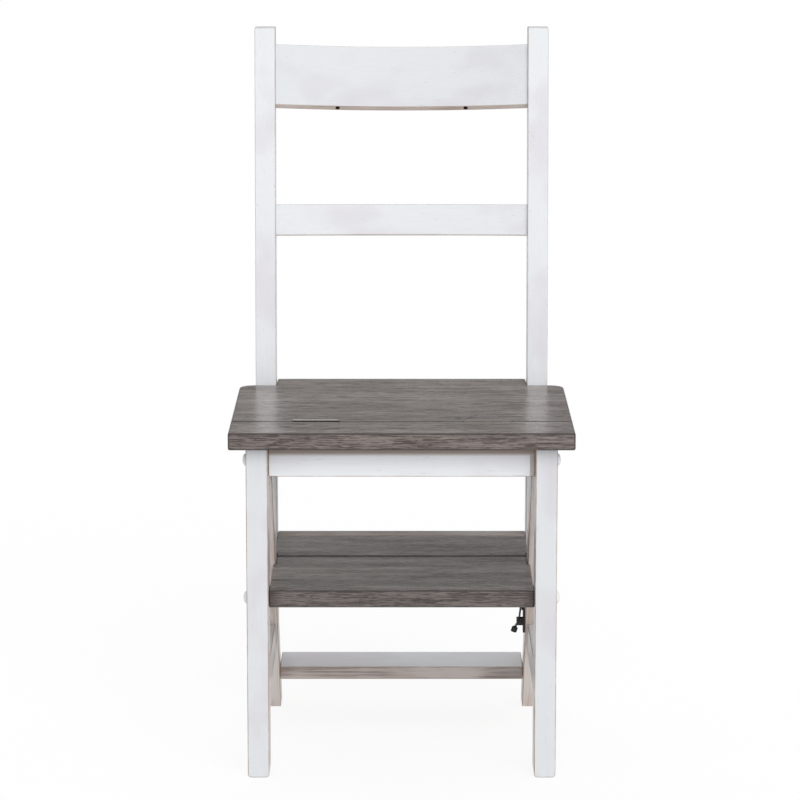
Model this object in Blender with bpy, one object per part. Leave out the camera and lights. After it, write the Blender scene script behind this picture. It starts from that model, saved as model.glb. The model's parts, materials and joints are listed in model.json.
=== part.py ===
"""A library step chair: a wooden chair whose rear half turns over forwards and makes a set of steps.

Every side frame is cut by one slanting seam, from the hinge line on the seat down to the rear floor. What
lies in front of the seam is the front frame: legs, front stringers, the front strip of the seat, a step and
the stretchers. What lies behind it is the rear frame: posts, rear stringers, the large seat board, a second
step and the back. Two butt hinges on the seat's split join them.

Lengths are in metres. A depth runs back from the seat's front edge, a height runs up from the floor, and X is
zero in the middle of the chair. Left is -X, as seen by someone who stands in front of the chair.
"""

import math

import bmesh
import bpy
from mathutils import Vector

# Clearances and edges that the whole chair shares
FIT_GAP = 0.0003
SEAM_GAP = 0.0006
OVERRUN = 0.004
EASED_EDGE = 0.0016
EASED_SEGMENTS = 2
EASED_ABOVE_DEGREES = 40
SMOOTH_BELOW_DEGREES = 35
ROUND_SIDES = 20
BORE_SIDES = 16
HALVINGS = 40
SIDES = ((-1, "left"), (1, "right"))

# Seat
SEAT_TOP = 0.468
SEAT_THICKNESS = 0.023
SEAT_OVERHANG = 0.022
SEAT_BACK_OVERHANG = 0.010
SEAT_STRIP_DEPTH = 0.085
SEAT_SPLIT_GAP = 0.0015
SEAT_EASED_EDGE = 0.0018
EAR_CORNER_RADIUS = 0.012
EAR_SIDES = 5

# Side frames
FRAME_WIDTH = 0.407
SIDE_THICKNESS = 0.0285
SEAM_FLOOR_DEPTH = 0.442
STRINGER_WIDTH = 0.040
STRINGER_PROUD = 0.0035
LEG_FRONT = 0.024
LEG_DEPTH = 0.056
FOOT_CORNER_RADIUS = 0.005
FOOT_CORNER_SIDES = 4
POST_FRONT = 0.370
POST_DEPTH_AT_SEAT = 0.044
POST_DEPTH_AT_TOP = 0.034
POST_DEPTH_AT_FLOOR = 0.036
POST_HEEL = 0.001
POST_RISE = 0.494
POST_TIP_HEIGHT = 0.010
BACK_LEAN_SHARE = 0.09
KNEE_SOFTNESS = 0.06
POST_STATIONS = 9
SIDE_STRETCHER_BOTTOM = 0.105
SIDE_STRETCHER_WIDTH = 0.042
SIDE_STRETCHER_THICKNESS = 0.022
SIDE_RAIL_WIDTH = 0.043

# Boards and rails across the chair
APRON_SETBACK = 0.021
APRON_THICKNESS = 0.020
APRON_WIDTH = 0.043
STEP_TOP = 0.250
STEP_THICKNESS = 0.023
STEP_SETBACK = 0.016
STEP_SPLIT_GAP = 0.0015
STEP_EASED_EDGE = 0.0010
STEP_RAIL_THICKNESS = 0.033
STEP_RAIL_WIDTH = 0.030
REAR_APRON_THICKNESS = 0.020
REAR_APRON_SETBACK = 0.008
BOTTOM_STRETCHER_SETBACK = 0.002
BOTTOM_STRETCHER_DEPTH = 0.088
BOTTOM_STRETCHER_THICKNESS = 0.018
BOTTOM_STRETCHER_TOP = 0.068

# Back, with heights above the seat
CREST_RISE = 0.4715
CREST_WIDTH = 0.088
CREST_THICKNESS = 0.018
CREST_BOW = 0.018
CREST_SAG = 0.0035
CREST_LIP = 0.0055
CREST_HOLE_SPACING = 0.178
CREST_HOLE_RADIUS = 0.003
CREST_HOLE_DEPTH = 0.011
SLAT_RISE = 0.250
SLAT_WIDTH = 0.043
SLAT_THICKNESS = 0.016
SLAT_BOW = 0.014
RAIL_SETBACK = 0.006
RAIL_STATIONS = 12
TENON_LENGTH = 0.014
TENON_THICKNESS = 0.010
TENON_SHOULDER = 0.006
TENON_CORNER = 0.002

# Bolts through the legs, and their caps
BOLT_RADIUS = 0.003
BOLT_HEAD_RADIUS = 0.0055
BOLT_HEAD_HEIGHT = 0.004
BOLT_LENGTH = 0.062
COUNTERBORE_RADIUS = 0.0065
COUNTERBORE_DEPTH = 0.008
CAP_RADIUS = 0.0085
CAP_HEIGHT = 0.005
CAP_STEM_LENGTH = 0.0025
CAP_DOME_SIDES = 4

# Wood screws of the hinges and the latch
SCREW_RADIUS = 0.0014
SCREW_HEAD_RADIUS = 0.0028
SCREW_HEAD_DEPTH = 0.0013
SCREW_LENGTH = 0.014
SCREW_SIDES = 12

# Butt hinges
HINGE_SPACING = 0.226
HINGE_LENGTH = 0.060
HINGE_RISE = 0.0004
KNUCKLE_COUNT = 5
KNUCKLE_RADIUS = 0.0023
KNUCKLE_GAP = 0.0004
PIN_RADIUS = 0.0011
PIN_HEAD_RADIUS = 0.0019
PIN_HEAD_HEIGHT = 0.0010
LEAF_THICKNESS = 0.0018
LEAF_DROP = 0.019
HINGE_SCREW_SPACING = 0.034

# Latch
LATCH_SIDE = 1
LATCH_BOTTOM = 0.131
LATCH_PLATE_HEIGHT = 0.042
LATCH_PLATE_WIDTH = 0.017
LATCH_PLATE_THICKNESS = 0.0025
LATCH_PLATE_CORNER = 0.003
LATCH_CORNER_SIDES = 3
LATCH_EAR_THICKNESS = 0.002
LATCH_EAR_HEIGHT = 0.009
LATCH_PIVOT_STANDOFF = 0.0055
LATCH_PIVOT_RISE = 0.0155
LATCH_PIVOT_RADIUS = 0.0015
LATCH_PIVOT_HEAD_RADIUS = 0.0026
LATCH_PIVOT_HEAD_HEIGHT = 0.0012
LATCH_BARREL_RADIUS = 0.0032
LATCH_LEVER_WIDTH = 0.010
LATCH_LEVER_THICKNESS = 0.0022
LATCH_ARM_RISE = 0.0205
LATCH_ARM_LEAN = 0.0024
LATCH_FOOT_DROP = 0.0065
LATCH_FOOT_OUT = 0.0045
LATCH_PIN_RISE = 0.0175
LATCH_PIN_RADIUS = 0.0020
LATCH_PIN_TIP_RADIUS = 0.0012
LATCH_PIN_TAPER = 0.0020
LATCH_PIN_ENTRY = 0.0034
LATCH_PIN_PLAY = 0.0012
LATCH_SCREW_SPACING = 0.009
LATCH_SCREW_RISE = 0.0055
KNOB_RADIUS = 0.0042
KNOB_NECK_RADIUS = 0.0022
KNOB_LENGTH = 0.009
KNOB_SIDES = 6

# Places that follow from the sizes above
HALF_WIDTH = FRAME_WIDTH / 2
SEAT_HALF = HALF_WIDTH + SEAT_OVERHANG
FRONT_STRINGER_THICKNESS = SIDE_THICKNESS + STRINGER_PROUD
SIDE_INNER = HALF_WIDTH - SIDE_THICKNESS
STRINGER_INNER = HALF_WIDTH - FRONT_STRINGER_THICKNESS
SEAT_UNDERSIDE = SEAT_TOP - SEAT_THICKNESS
SEAT_BACK = POST_FRONT + POST_DEPTH_AT_SEAT + SEAT_BACK_OVERHANG
LEG_BACK = LEG_FRONT + LEG_DEPTH
APRON_FRONT = LEG_FRONT + APRON_SETBACK
STEP_FRONT = LEG_FRONT + STEP_SETBACK
STEP_UNDERSIDE = STEP_TOP - STEP_THICKNESS
BOLT_DEPTH = LEG_FRONT + LEG_DEPTH / 2
POST_TOP = SEAT_TOP + POST_RISE
CREST_TOP = SEAT_TOP + CREST_RISE
SLAT_TOP = SEAT_TOP + SLAT_RISE
SEAM_RUN = SEAM_FLOOR_DEPTH - SEAT_STRIP_DEPTH
STRINGER_REACH = STRINGER_WIDTH * math.hypot(SEAM_RUN, SEAT_TOP) / SEAT_TOP
HINGE_HEIGHT = SEAT_TOP + HINGE_RISE

# The splay that brings the post's back down to the seam's end on the floor
KNEE_FALL = math.hypot(SEAT_TOP, KNEE_SOFTNESS) - KNEE_SOFTNESS
POST_FLOOR_RUN = SEAM_FLOOR_DEPTH + POST_HEEL - POST_DEPTH_AT_FLOOR - POST_FRONT
LEG_SPLAY = (2 * POST_FLOOR_RUN + BACK_LEAN_SHARE * (SEAT_TOP - KNEE_FALL)) / (SEAT_TOP + KNEE_FALL)

PAINT = ("white_paint", (0.80, 0.81, 0.83), 0.45, 0.0)
GREY_WOOD = ("grey_wood", (0.20, 0.17, 0.16), 0.40, 0.0)
STEEL = ("hinge_steel", (0.62, 0.60, 0.56), 0.35, 1.0)
BLACK = ("black_metal", (0.02, 0.02, 0.02), 0.45, 0.8)
CAP_WHITE = ("cap_white", (0.82, 0.82, 0.82), 0.35, 0.0)


def seam_depth(height):
    """Depth of the slanting seam at this height."""
    return SEAM_FLOOR_DEPTH - SEAM_RUN * height / SEAT_TOP


def behind_seam(height):
    """Depth of the faces that lie on the seam from behind."""
    return seam_depth(height) + SEAM_GAP


def above_stringer(height):
    """Depth of the rear stringer's upper face, along the seam."""
    return seam_depth(height) + STRINGER_REACH


def below_stringer(height):
    """Depth of the front stringer's lower face, along the seam."""
    return seam_depth(height) - STRINGER_REACH


def post_front(height):
    """Depth of the post's front face: nearest at the seat, leaning back above it and splayed below it."""
    rise = height - SEAT_TOP
    bend = math.hypot(rise, KNEE_SOFTNESS) - KNEE_SOFTNESS
    return POST_FRONT + (BACK_LEAN_SHARE - LEG_SPLAY) / 2 * rise + (BACK_LEAN_SHARE + LEG_SPLAY) / 2 * bend


def against_post(height):
    """Depth of what butts on the post's front face."""
    return post_front(height) - FIT_GAP


def post_back(height):
    """Depth of the post's back face: the post is deepest at the seat and tapers to both ends."""
    if height > SEAT_TOP:
        share = (height - SEAT_TOP) / POST_RISE
        end = POST_DEPTH_AT_TOP
    else:
        share = (SEAT_TOP - height) / SEAT_TOP
        end = POST_DEPTH_AT_FLOOR
    return post_front(height) + POST_DEPTH_AT_SEAT + (end - POST_DEPTH_AT_SEAT) * share


def crossing(first, second, low, high):
    """Height between low and high at which two depth functions meet, found by halving."""
    below = first(low) > second(low)
    for _ in range(HALVINGS):
        middle = (low + high) / 2
        if (first(middle) > second(middle)) == below:
            low = middle
        else:
            high = middle
    return low


def crest_back():
    """Depth of the hindmost point of the chair's back: the crest rail's top edge, in its middle."""
    foot = post_front(CREST_TOP - CREST_WIDTH) + RAIL_SETBACK
    thick = (CREST_THICKNESS + CREST_BOW) * math.cos(math.atan(BACK_LEAN_SHARE))
    return foot + CREST_WIDTH * BACK_LEAN_SHARE + thick


OVERALL_DEPTH = max(crest_back(), post_back(POST_TOP), post_back(POST_TIP_HEIGHT), SEAM_FLOOR_DEPTH)
ORIGIN_DEPTH = OVERALL_DEPTH / 2


def clear_scene():
    """Remove every object of the scene that the file opens with."""
    for old in list(bpy.data.objects):
        bpy.data.objects.remove(old, do_unlink=True)


def material(recipe):
    """The named Principled material, made the first time it is asked for."""
    name, colour, roughness, metallic = recipe
    found = bpy.data.materials.get(name)
    if found:
        return found
    made = bpy.data.materials.new(name)
    made.use_nodes = True
    shader = made.node_tree.nodes["Principled BSDF"]
    shader.inputs["Base Color"].default_value = (*colour, 1.0)
    shader.inputs["Roughness"].default_value = roughness
    shader.inputs["Metallic"].default_value = metallic
    made.diffuse_color = (*colour, 1.0)
    return made


def pivot(name, location, parent=None):
    """An empty that the pieces of one frame hang from."""
    empty = bpy.data.objects.new(name, None)
    bpy.context.scene.collection.objects.link(empty)
    empty.location = location
    if parent:
        empty.parent = parent
    return empty


def carrier_place(carrier):
    """Where a carrier lies in chair coordinates: the sum of the locations up its line of parents."""
    place = Vector((0, 0, 0))
    while carrier.parent:
        place += carrier.location
        carrier = carrier.parent
    return place


def mesh_object(name, shape, recipe, carrier, smooth=False):
    """Turn a bmesh, built in chair coordinates, into a named object under its carrier."""
    bmesh.ops.recalc_face_normals(shape, faces=shape.faces[:])
    mesh = bpy.data.meshes.new(name)
    bmesh.ops.translate(shape, verts=shape.verts[:], vec=-carrier_place(carrier))
    shape.to_mesh(mesh)
    shape.free()
    mesh.materials.append(material(recipe))
    if smooth:
        mesh.shade_smooth()
        mesh.set_sharp_from_angle(angle=math.radians(SMOOTH_BELOW_DEGREES))
    made = bpy.data.objects.new(name, mesh)
    bpy.context.scene.collection.objects.link(made)
    made.parent = carrier
    return made


def add_prism(shape, outline, start, end, axis):
    """Add to the bmesh an outline of two coordinates, carried from start to end along the third."""
    order = {"X": (2, 0, 1), "Y": (0, 2, 1), "Z": (0, 1, 2)}[axis]
    rings = []
    for along in (start, end):
        points = [(a, b, along) for a, b in outline]
        rings.append([shape.verts.new([point[i] for i in order]) for point in points])
    shape.faces.new(rings[0])
    shape.faces.new(rings[1][::-1])
    count = len(outline)
    for i in range(count):
        j = (i + 1) % count
        shape.faces.new((rings[0][i], rings[1][i], rings[1][j], rings[0][j]))


def add_loft(shape, sections):
    """Add a closed skin over rings of equally many points, with both ends capped."""
    rings = [[shape.verts.new(point) for point in ring] for ring in sections]
    for first, second in zip(rings, rings[1:]):
        for i in range(len(first)):
            j = (i + 1) % len(first)
            shape.faces.new((first[i], first[j], second[j], second[i]))
    shape.faces.new(rings[0])
    shape.faces.new(rings[-1][::-1])


def add_turning(shape, profile, place, direction, sides):
    """Add a turned solid: (distance, radius) pairs along an axis, with a point where the radius is zero."""
    turn = Vector((0, 0, 1)).rotation_difference(Vector(direction)).to_matrix()
    rings = []
    for distance, radius in profile:
        if radius == 0:
            rings.append([shape.verts.new(Vector(place) + turn @ Vector((0, 0, distance)))])
            continue
        angles = [2 * math.pi * i / sides for i in range(sides)]
        around = [Vector((radius * math.cos(a), radius * math.sin(a), distance)) for a in angles]
        rings.append([shape.verts.new(Vector(place) + turn @ point) for point in around])
    for first, second in zip(rings, rings[1:]):
        for i in range(sides):
            j = (i + 1) % sides
            near = [first[i % len(first)], first[j % len(first)]]
            far = [second[j % len(second)], second[i % len(second)]]
            shape.faces.new(list(dict.fromkeys(near + far)))
    for ring in (rings[0], rings[-1]):
        if len(ring) > 1:
            shape.faces.new(ring)


def box_outline(low_a, high_a, low_b, high_b):
    """The four corners of a rectangle, the lower two first."""
    return [(low_a, low_b), (high_a, low_b), (high_a, high_b), (low_a, high_b)]


def rounded(corners, radius, sides, chosen=range(4)):
    """The outline with its chosen corners turned into arcs that are tangent to both edges."""
    outline = []
    for i, corner in enumerate(corners):
        if i not in chosen:
            outline.append(corner)
            continue
        here = Vector(corner)
        back = (Vector(corners[i - 1]) - here).normalized()
        ahead = (Vector(corners[(i + 1) % len(corners)]) - here).normalized()
        half_angle = back.angle(ahead) / 2
        middle = here + (back + ahead).normalized() * (radius / math.sin(half_angle))
        first = here + back * (radius / math.tan(half_angle)) - middle
        last = here + ahead * (radius / math.tan(half_angle)) - middle
        for step in range(sides + 1):
            spoke = first.lerp(last, step / sides).normalized() * radius
            outline.append(tuple(middle + spoke))
    return outline


def turn_angles(steps, turn):
    """Angles from zero to this turn, in equal steps."""
    return [turn * i / steps for i in range(steps + 1)]


def ease(made, width):
    """Round the sharp edges of a piece, as sanding does."""
    bevel = made.modifiers.new("eased edges", "BEVEL")
    bevel.width = width
    bevel.segments = EASED_SEGMENTS
    bevel.limit_method = "ANGLE"
    bevel.angle_limit = math.radians(EASED_ABOVE_DEGREES)
    return made


def board(name, outline, start, end, axis, recipe, carrier, eased=EASED_EDGE):
    """One piece of timber: an outline carried straight along an axis, with eased edges."""
    shape = bmesh.new()
    add_prism(shape, outline, start, end, axis)
    return ease(mesh_object(name, shape, recipe, carrier), eased)


def turned(name, profile, place, direction, recipe, carrier, sides=ROUND_SIDES):
    """One turned piece."""
    shape = bmesh.new()
    add_turning(shape, profile, place, direction, sides)
    return mesh_object(name, shape, recipe, carrier, smooth=True)


def helper(name, shape, carrier):
    """A solid that only cuts or joins other solids and isn't a piece of the chair."""
    made = mesh_object(name, shape, PAINT, carrier)
    made.hide_render = True
    made.display_type = "WIRE"
    return made


def combine(made, other, operation):
    """Cut a helper out of a piece, or join it on."""
    boolean = made.modifiers.new(other.name, "BOOLEAN")
    boolean.operation = operation
    boolean.object = other
    boolean.solver = "EXACT"


def cut_prism(made, name, outline, start, end, axis):
    """Cut a prism out of a piece."""
    shape = bmesh.new()
    add_prism(shape, outline, start, end, axis)
    combine(made, helper(name, shape, made.parent), "DIFFERENCE")


def cut_bore(made, name, steps, place, direction, sides=BORE_SIDES):
    """Cut a stepped round hole, whose steps are (distance, radius) pairs along its axis."""
    shape = bmesh.new()
    add_turning(shape, steps, place, direction, sides)
    combine(made, helper(name, shape, made.parent), "DIFFERENCE")


def headed_pin(half_length, radius, head_radius, head_height):
    """Profile of a plain pin with a flat head at both ends, about its middle."""
    return [
        (-half_length - head_height, 0),
        (-half_length - head_height, head_radius),
        (-half_length, head_radius),
        (-half_length, radius),
        (half_length, radius),
        (half_length, head_radius),
        (half_length + head_height, head_radius),
        (half_length + head_height, 0),
    ]


def wood_screw(name, plate, timber, plate_thickness, place, direction, recipe, carrier):
    """A countersunk screw through a plate into timber, and the holes it takes in both."""
    wide = SCREW_HEAD_RADIUS + 2 * FIT_GAP
    hole = SCREW_RADIUS + 2 * FIT_GAP
    sink = [(-OVERRUN, wide), (0, wide), (SCREW_HEAD_DEPTH, hole), (plate_thickness + OVERRUN, hole)]
    cut_bore(plate, f"{name}_sink", sink, place, direction, SCREW_SIDES)
    pilot = SCREW_RADIUS + FIT_GAP
    steps = [(0, pilot), (SCREW_LENGTH + FIT_GAP, pilot)]
    cut_bore(timber, f"{name}_pilot", steps, place, direction, SCREW_SIDES)
    profile = [
        (0, 0),
        (0, SCREW_HEAD_RADIUS),
        (SCREW_HEAD_DEPTH, SCREW_RADIUS),
        (SCREW_LENGTH, SCREW_RADIUS),
        (SCREW_LENGTH, 0),
    ]
    turned(name, profile, place, direction, recipe, carrier, SCREW_SIDES)


def side_span(side, thickness):
    """The two X faces of a member whose outer face is flush with the frame's side."""
    return side * (HALF_WIDTH - thickness), side * HALF_WIDTH


def front_leg(name, side, carrier):
    """A straight leg, square on the floor, with the lower corners of its front and back faces rounded."""
    face = box_outline(*side_span(side, SIDE_THICKNESS), 0, SEAT_UNDERSIDE - FIT_GAP)
    outline = rounded(face, FOOT_CORNER_RADIUS, FOOT_CORNER_SIDES, range(2))
    return board(name, outline, LEG_FRONT, LEG_BACK, "Y", PAINT, carrier)


def front_stringer(name, side, carrier):
    """The board under the seam: from the leg's back, below the hinge line, down to the rear floor."""
    start = LEG_BACK + FIT_GAP
    top = SEAT_UNDERSIDE - FIT_GAP
    meeting = crossing(below_stringer, lambda height: start, 0, top)
    outline = [
        (below_stringer(0), 0),
        (SEAM_FLOOR_DEPTH, 0),
        (seam_depth(top), top),
        (start, top),
        (start, meeting),
    ]
    return board(name, outline, *side_span(side, FRONT_STRINGER_THICKNESS), "X", PAINT, carrier)


def side_stretcher(name, side, carrier):
    """A level rail from the leg to the front stringer, set in from the outer face."""
    bottom, top = SIDE_STRETCHER_BOTTOM, SIDE_STRETCHER_BOTTOM + SIDE_STRETCHER_WIDTH
    outline = [
        (LEG_BACK + FIT_GAP, bottom),
        (below_stringer(bottom) - FIT_GAP, bottom),
        (below_stringer(top) - FIT_GAP, top),
        (LEG_BACK + FIT_GAP, top),
    ]
    inner = SIDE_INNER
    return board(name, outline, side * inner, side * (inner + SIDE_STRETCHER_THICKNESS), "X", PAINT, carrier)


def rear_post(name, side, carrier):
    """Rear leg and back upright in one: a soft knee at the seat, and a wedge foot cut along the seam."""
    toe = crossing(behind_seam, post_front, 0, SEAT_TOP / 2)
    heights = [toe + (POST_TOP - toe) * i / (POST_STATIONS - 1) for i in range(POST_STATIONS)]
    outline = [(post_back(POST_TIP_HEIGHT), POST_TIP_HEIGHT), (behind_seam(POST_TIP_HEIGHT), POST_TIP_HEIGHT)]
    outline += [(post_front(height), height) for height in heights]
    outline += [(post_back(height), height) for height in heights[::-1]]
    return board(name, outline, *side_span(side, SIDE_THICKNESS), "X", PAINT, carrier)


def rear_stringer(name, side, carrier):
    """The board above the seam: from under the seat down to the post's front face."""
    top = SEAT_UNDERSIDE - FIT_GAP
    low_end = crossing(behind_seam, against_post, 0, SEAT_TOP / 2)
    high_end = crossing(above_stringer, against_post, 0, SEAT_TOP / 2)
    outline = [
        (behind_seam(low_end), low_end),
        (above_stringer(high_end), high_end),
        (above_stringer(top), top),
        (behind_seam(top), top),
    ]
    return board(name, outline, *side_span(side, SIDE_THICKNESS), "X", PAINT, carrier)


def rear_side_rail(name, side, carrier):
    """The rail under the seat's side, from the rear stringer to the post."""
    top = SEAT_UNDERSIDE - FIT_GAP
    bottom = top - SIDE_RAIL_WIDTH
    outline = [(against_post(height), height) for height in (bottom, top)]
    outline += [(above_stringer(height) + FIT_GAP, height) for height in (top, bottom)]
    return board(name, outline, *side_span(side, SIDE_THICKNESS), "X", PAINT, carrier)


class Rail:
    """A rail between the posts, with a tenon at each end.

    A point of it is given by X, by its height above the rail's lower edge and by its distance behind the front
    face. The rail's middle is pushed back by the bow, square to its own leaning face, and let down by the sag,
    both on a parabola. The lip is a slanting strip along its lower front edge.
    """

    def __init__(self, low, height, front, thickness, lean=0.0, bow=0.0, sag=0.0, lip=EASED_EDGE):
        self.low, self.height, self.front, self.thickness = low, height, front, thickness
        self.bow, self.sag, self.lip = bow, sag, lip
        self.tilt = math.atan(lean)
        self.up = Vector((0, math.sin(self.tilt), math.cos(self.tilt)))
        self.back = Vector((0, math.cos(self.tilt), -math.sin(self.tilt)))
        self.half = SIDE_INNER - FIT_GAP

    def point(self, x, rise, behind):
        """A point of the rail in chair coordinates."""
        bend = max(0.0, 1 - (x / self.half) ** 2)
        foot = Vector((x, self.front, self.low - self.sag * bend))
        return foot + self.up * (rise / math.cos(self.tilt)) + self.back * (behind + self.bow * bend)

    def ring(self, x, bottom, top, near, far, slope):
        """The five corners of a section, with its lower front corner cut off by the slope."""
        corners = ((bottom + slope, near), (bottom, near + slope), (bottom, far), (top, far), (top, near))
        return [self.point(x, rise, behind) for rise, behind in corners]

    def tenon_ring(self, x):
        """A section of the tenon, in the middle of the rail's end."""
        middle = self.thickness / 2
        near, far = middle - TENON_THICKNESS / 2, middle + TENON_THICKNESS / 2
        return self.ring(x, TENON_SHOULDER, self.height - TENON_SHOULDER, near, far, TENON_CORNER)

    def sections(self):
        """All the rail's sections, from the tip of one tenon to the tip of the other."""
        half, tip = self.half, self.half + TENON_LENGTH
        rings = [self.tenon_ring(-tip), self.tenon_ring(-half)]
        for share in [2 * i / RAIL_STATIONS - 1 for i in range(RAIL_STATIONS + 1)]:
            rings.append(self.ring(share * half, 0, self.height, 0, self.thickness, self.lip))
        return rings + [self.tenon_ring(half), self.tenon_ring(tip)]


def grown(ring, growth):
    """A tenon's ring enlarged about its middle by the clearance of its mortise."""
    centre = sum(ring, Vector()) / len(ring)
    return [point + (point - centre).normalized() * growth for point in ring]


def tenoned_rail(name, rail, posts, carrier):
    """Make a rail, and the mortises in the posts that its tenons sit in."""
    rings = rail.sections()
    shape = bmesh.new()
    add_loft(shape, rings)
    for side, word in SIDES:
        tip, root = (rings[0], rings[1]) if side < 0 else (rings[-1], rings[-2])
        outer = [point + Vector((side * FIT_GAP, 0, 0)) for point in grown(tip, 2 * FIT_GAP)]
        inner = [point - Vector((side * OVERRUN, 0, 0)) for point in grown(root, 2 * FIT_GAP)]
        cutter = bmesh.new()
        add_loft(cutter, [outer, inner])
        combine(posts[side], helper(f"{name}_mortise_{word}", cutter, posts[side].parent), "DIFFERENCE")
    return mesh_object(name, shape, PAINT, carrier)


def crest_rail(posts, carrier):
    """The bowed rail at the top of the back, with two screw holes in its lip."""
    low = CREST_TOP - CREST_WIDTH
    front = post_front(low) + RAIL_SETBACK
    rail = Rail(low, CREST_WIDTH, front, CREST_THICKNESS, BACK_LEAN_SHARE, CREST_BOW, CREST_SAG, CREST_LIP)
    crest = tenoned_rail("crest_rail", rail, posts, carrier)
    steps = [(-OVERRUN, CREST_HOLE_RADIUS), (CREST_HOLE_DEPTH, CREST_HOLE_RADIUS)]
    for side, word in SIDES:
        place = rail.point(side * CREST_HOLE_SPACING / 2, CREST_LIP / 2, CREST_LIP / 2)
        cut_bore(crest, f"crest_hole_{word}", steps, place, (rail.up + rail.back).normalized(), SCREW_SIDES)
    return crest


def back_slat(posts, carrier):
    """The bowed slat across the back."""
    low = SLAT_TOP - SLAT_WIDTH
    front = post_front(low) + RAIL_SETBACK
    rail = Rail(low, SLAT_WIDTH, front, SLAT_THICKNESS, BACK_LEAN_SHARE, SLAT_BOW)
    return tenoned_rail("back_slat", rail, posts, carrier)


def rear_apron(posts, carrier):
    """The rail under the back of the seat."""
    low = SEAT_UNDERSIDE - FIT_GAP - APRON_WIDTH
    front = post_front(SEAT_UNDERSIDE) + REAR_APRON_SETBACK
    return tenoned_rail("rear_apron", Rail(low, APRON_WIDTH, front, REAR_APRON_THICKNESS), posts, carrier)


def rear_step_rail(posts, carrier):
    """The rail behind the rear step, between the posts."""
    front = post_front(STEP_TOP) + FIT_GAP
    rail = Rail(STEP_TOP - STEP_RAIL_WIDTH, STEP_RAIL_WIDTH, front, STEP_RAIL_THICKNESS)
    return tenoned_rail("rear_step_rail", rail, posts, carrier)


def bolt_and_cap(label, word, side, leg, receiver, height, carrier):
    """A bolt through the leg into the end of what it holds, its holes, and the cap over its head."""
    inward = (-side, 0, 0)
    face = (side * HALF_WIDTH, BOLT_DEPTH, height)
    hole = BOLT_RADIUS + 2 * FIT_GAP
    leg_steps = [
        (-OVERRUN, COUNTERBORE_RADIUS),
        (COUNTERBORE_DEPTH, COUNTERBORE_RADIUS),
        (COUNTERBORE_DEPTH, hole),
        (SIDE_THICKNESS + OVERRUN, hole),
    ]
    cut_bore(leg, f"{label}_leg_hole_{word}", leg_steps, face, inward)
    tip = COUNTERBORE_DEPTH + BOLT_LENGTH
    cut_bore(receiver, f"{label}_end_hole_{word}", [(0, hole), (tip + OVERRUN, hole)], face, inward)
    seat = COUNTERBORE_DEPTH - FIT_GAP
    bolt = [
        (seat - BOLT_HEAD_HEIGHT, 0),
        (seat - BOLT_HEAD_HEIGHT, BOLT_HEAD_RADIUS),
        (seat, BOLT_HEAD_RADIUS),
        (seat, BOLT_RADIUS),
        (tip, BOLT_RADIUS),
        (tip, 0),
    ]
    turned(f"{label}_bolt_{word}", bolt, face, inward, STEEL, carrier, BORE_SIDES)
    angles = turn_angles(CAP_DOME_SIDES, math.pi / 2)
    dome = [(-FIT_GAP - CAP_HEIGHT * math.sin(a), CAP_RADIUS * math.cos(a)) for a in angles]
    stem = COUNTERBORE_RADIUS - FIT_GAP
    cap = [(-FIT_GAP - CAP_HEIGHT, 0), *dome[-2::-1], (-FIT_GAP, stem), (CAP_STEM_LENGTH, stem)]
    turned(f"{label}_cap_{word}", [*cap, (CAP_STEM_LENGTH, 0)], face, inward, CAP_WHITE, carrier)


def seat_outline():
    """The whole seat in plan: full width back to the posts, and a tongue between them."""
    ear_end = against_post(SEAT_TOP)
    tongue = SIDE_INNER - FIT_GAP
    radius = EAR_CORNER_RADIUS
    corner_x, corner_depth = SEAT_HALF - radius, ear_end - radius
    corner = [
        (corner_x + radius * math.sin(a), corner_depth + radius * math.cos(a))
        for a in turn_angles(EAR_SIDES, math.pi / 2)
    ]
    right = [(tongue, SEAT_BACK), (tongue, ear_end), *corner, (SEAT_HALF, 0)]
    return right + [(-x, depth) for x, depth in right[::-1]]


def seat_board(name, waste_from, waste_to, carrier):
    """One board of the seat, which is eased as a whole and then sawn in two, so that the split stays crisp."""
    made = board(name, seat_outline(), SEAT_UNDERSIDE, SEAT_TOP, "Z", GREY_WOOD, carrier, SEAT_EASED_EDGE)
    waste = box_outline(-SEAT_HALF - OVERRUN, SEAT_HALF + OVERRUN, waste_from, waste_to)
    cut_prism(made, f"{name}_waste", waste, SEAT_UNDERSIDE - OVERRUN, SEAT_TOP + OVERRUN, "Z")
    return made


def step_outline(front, front_half, notch, back_half, back):
    """A step in plan, symmetric about X = 0, with its half-width changing at the notch."""
    right = [(back_half, back), (back_half, notch), (front_half, notch), (front_half, front)]
    return right + [(-x, depth) for x, depth in right[::-1]]


def front_step_board(carrier):
    """The lower step of the front frame: between the legs, narrowed beside the front stringers."""
    notch = below_stringer(STEP_TOP) - SEAM_GAP
    back = seam_depth(STEP_TOP) - STEP_SPLIT_GAP / 2
    outline = step_outline(STEP_FRONT, SIDE_INNER - FIT_GAP, notch, STRINGER_INNER - FIT_GAP, back)
    return board("front_step", outline, STEP_UNDERSIDE, STEP_TOP, "Z", GREY_WOOD, carrier, STEP_EASED_EDGE)


def rear_step_board(carrier):
    """The step of the rear frame: narrow beside the front stringers, then out to the rear ones."""
    front = seam_depth(STEP_TOP) + STEP_SPLIT_GAP / 2
    notch = behind_seam(STEP_UNDERSIDE)
    back = post_front(STEP_TOP)
    outline = step_outline(front, STRINGER_INNER - FIT_GAP, notch, SIDE_INNER - FIT_GAP, back)
    return board("rear_step", outline, STEP_UNDERSIDE, STEP_TOP, "Z", GREY_WOOD, carrier, STEP_EASED_EDGE)


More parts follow.
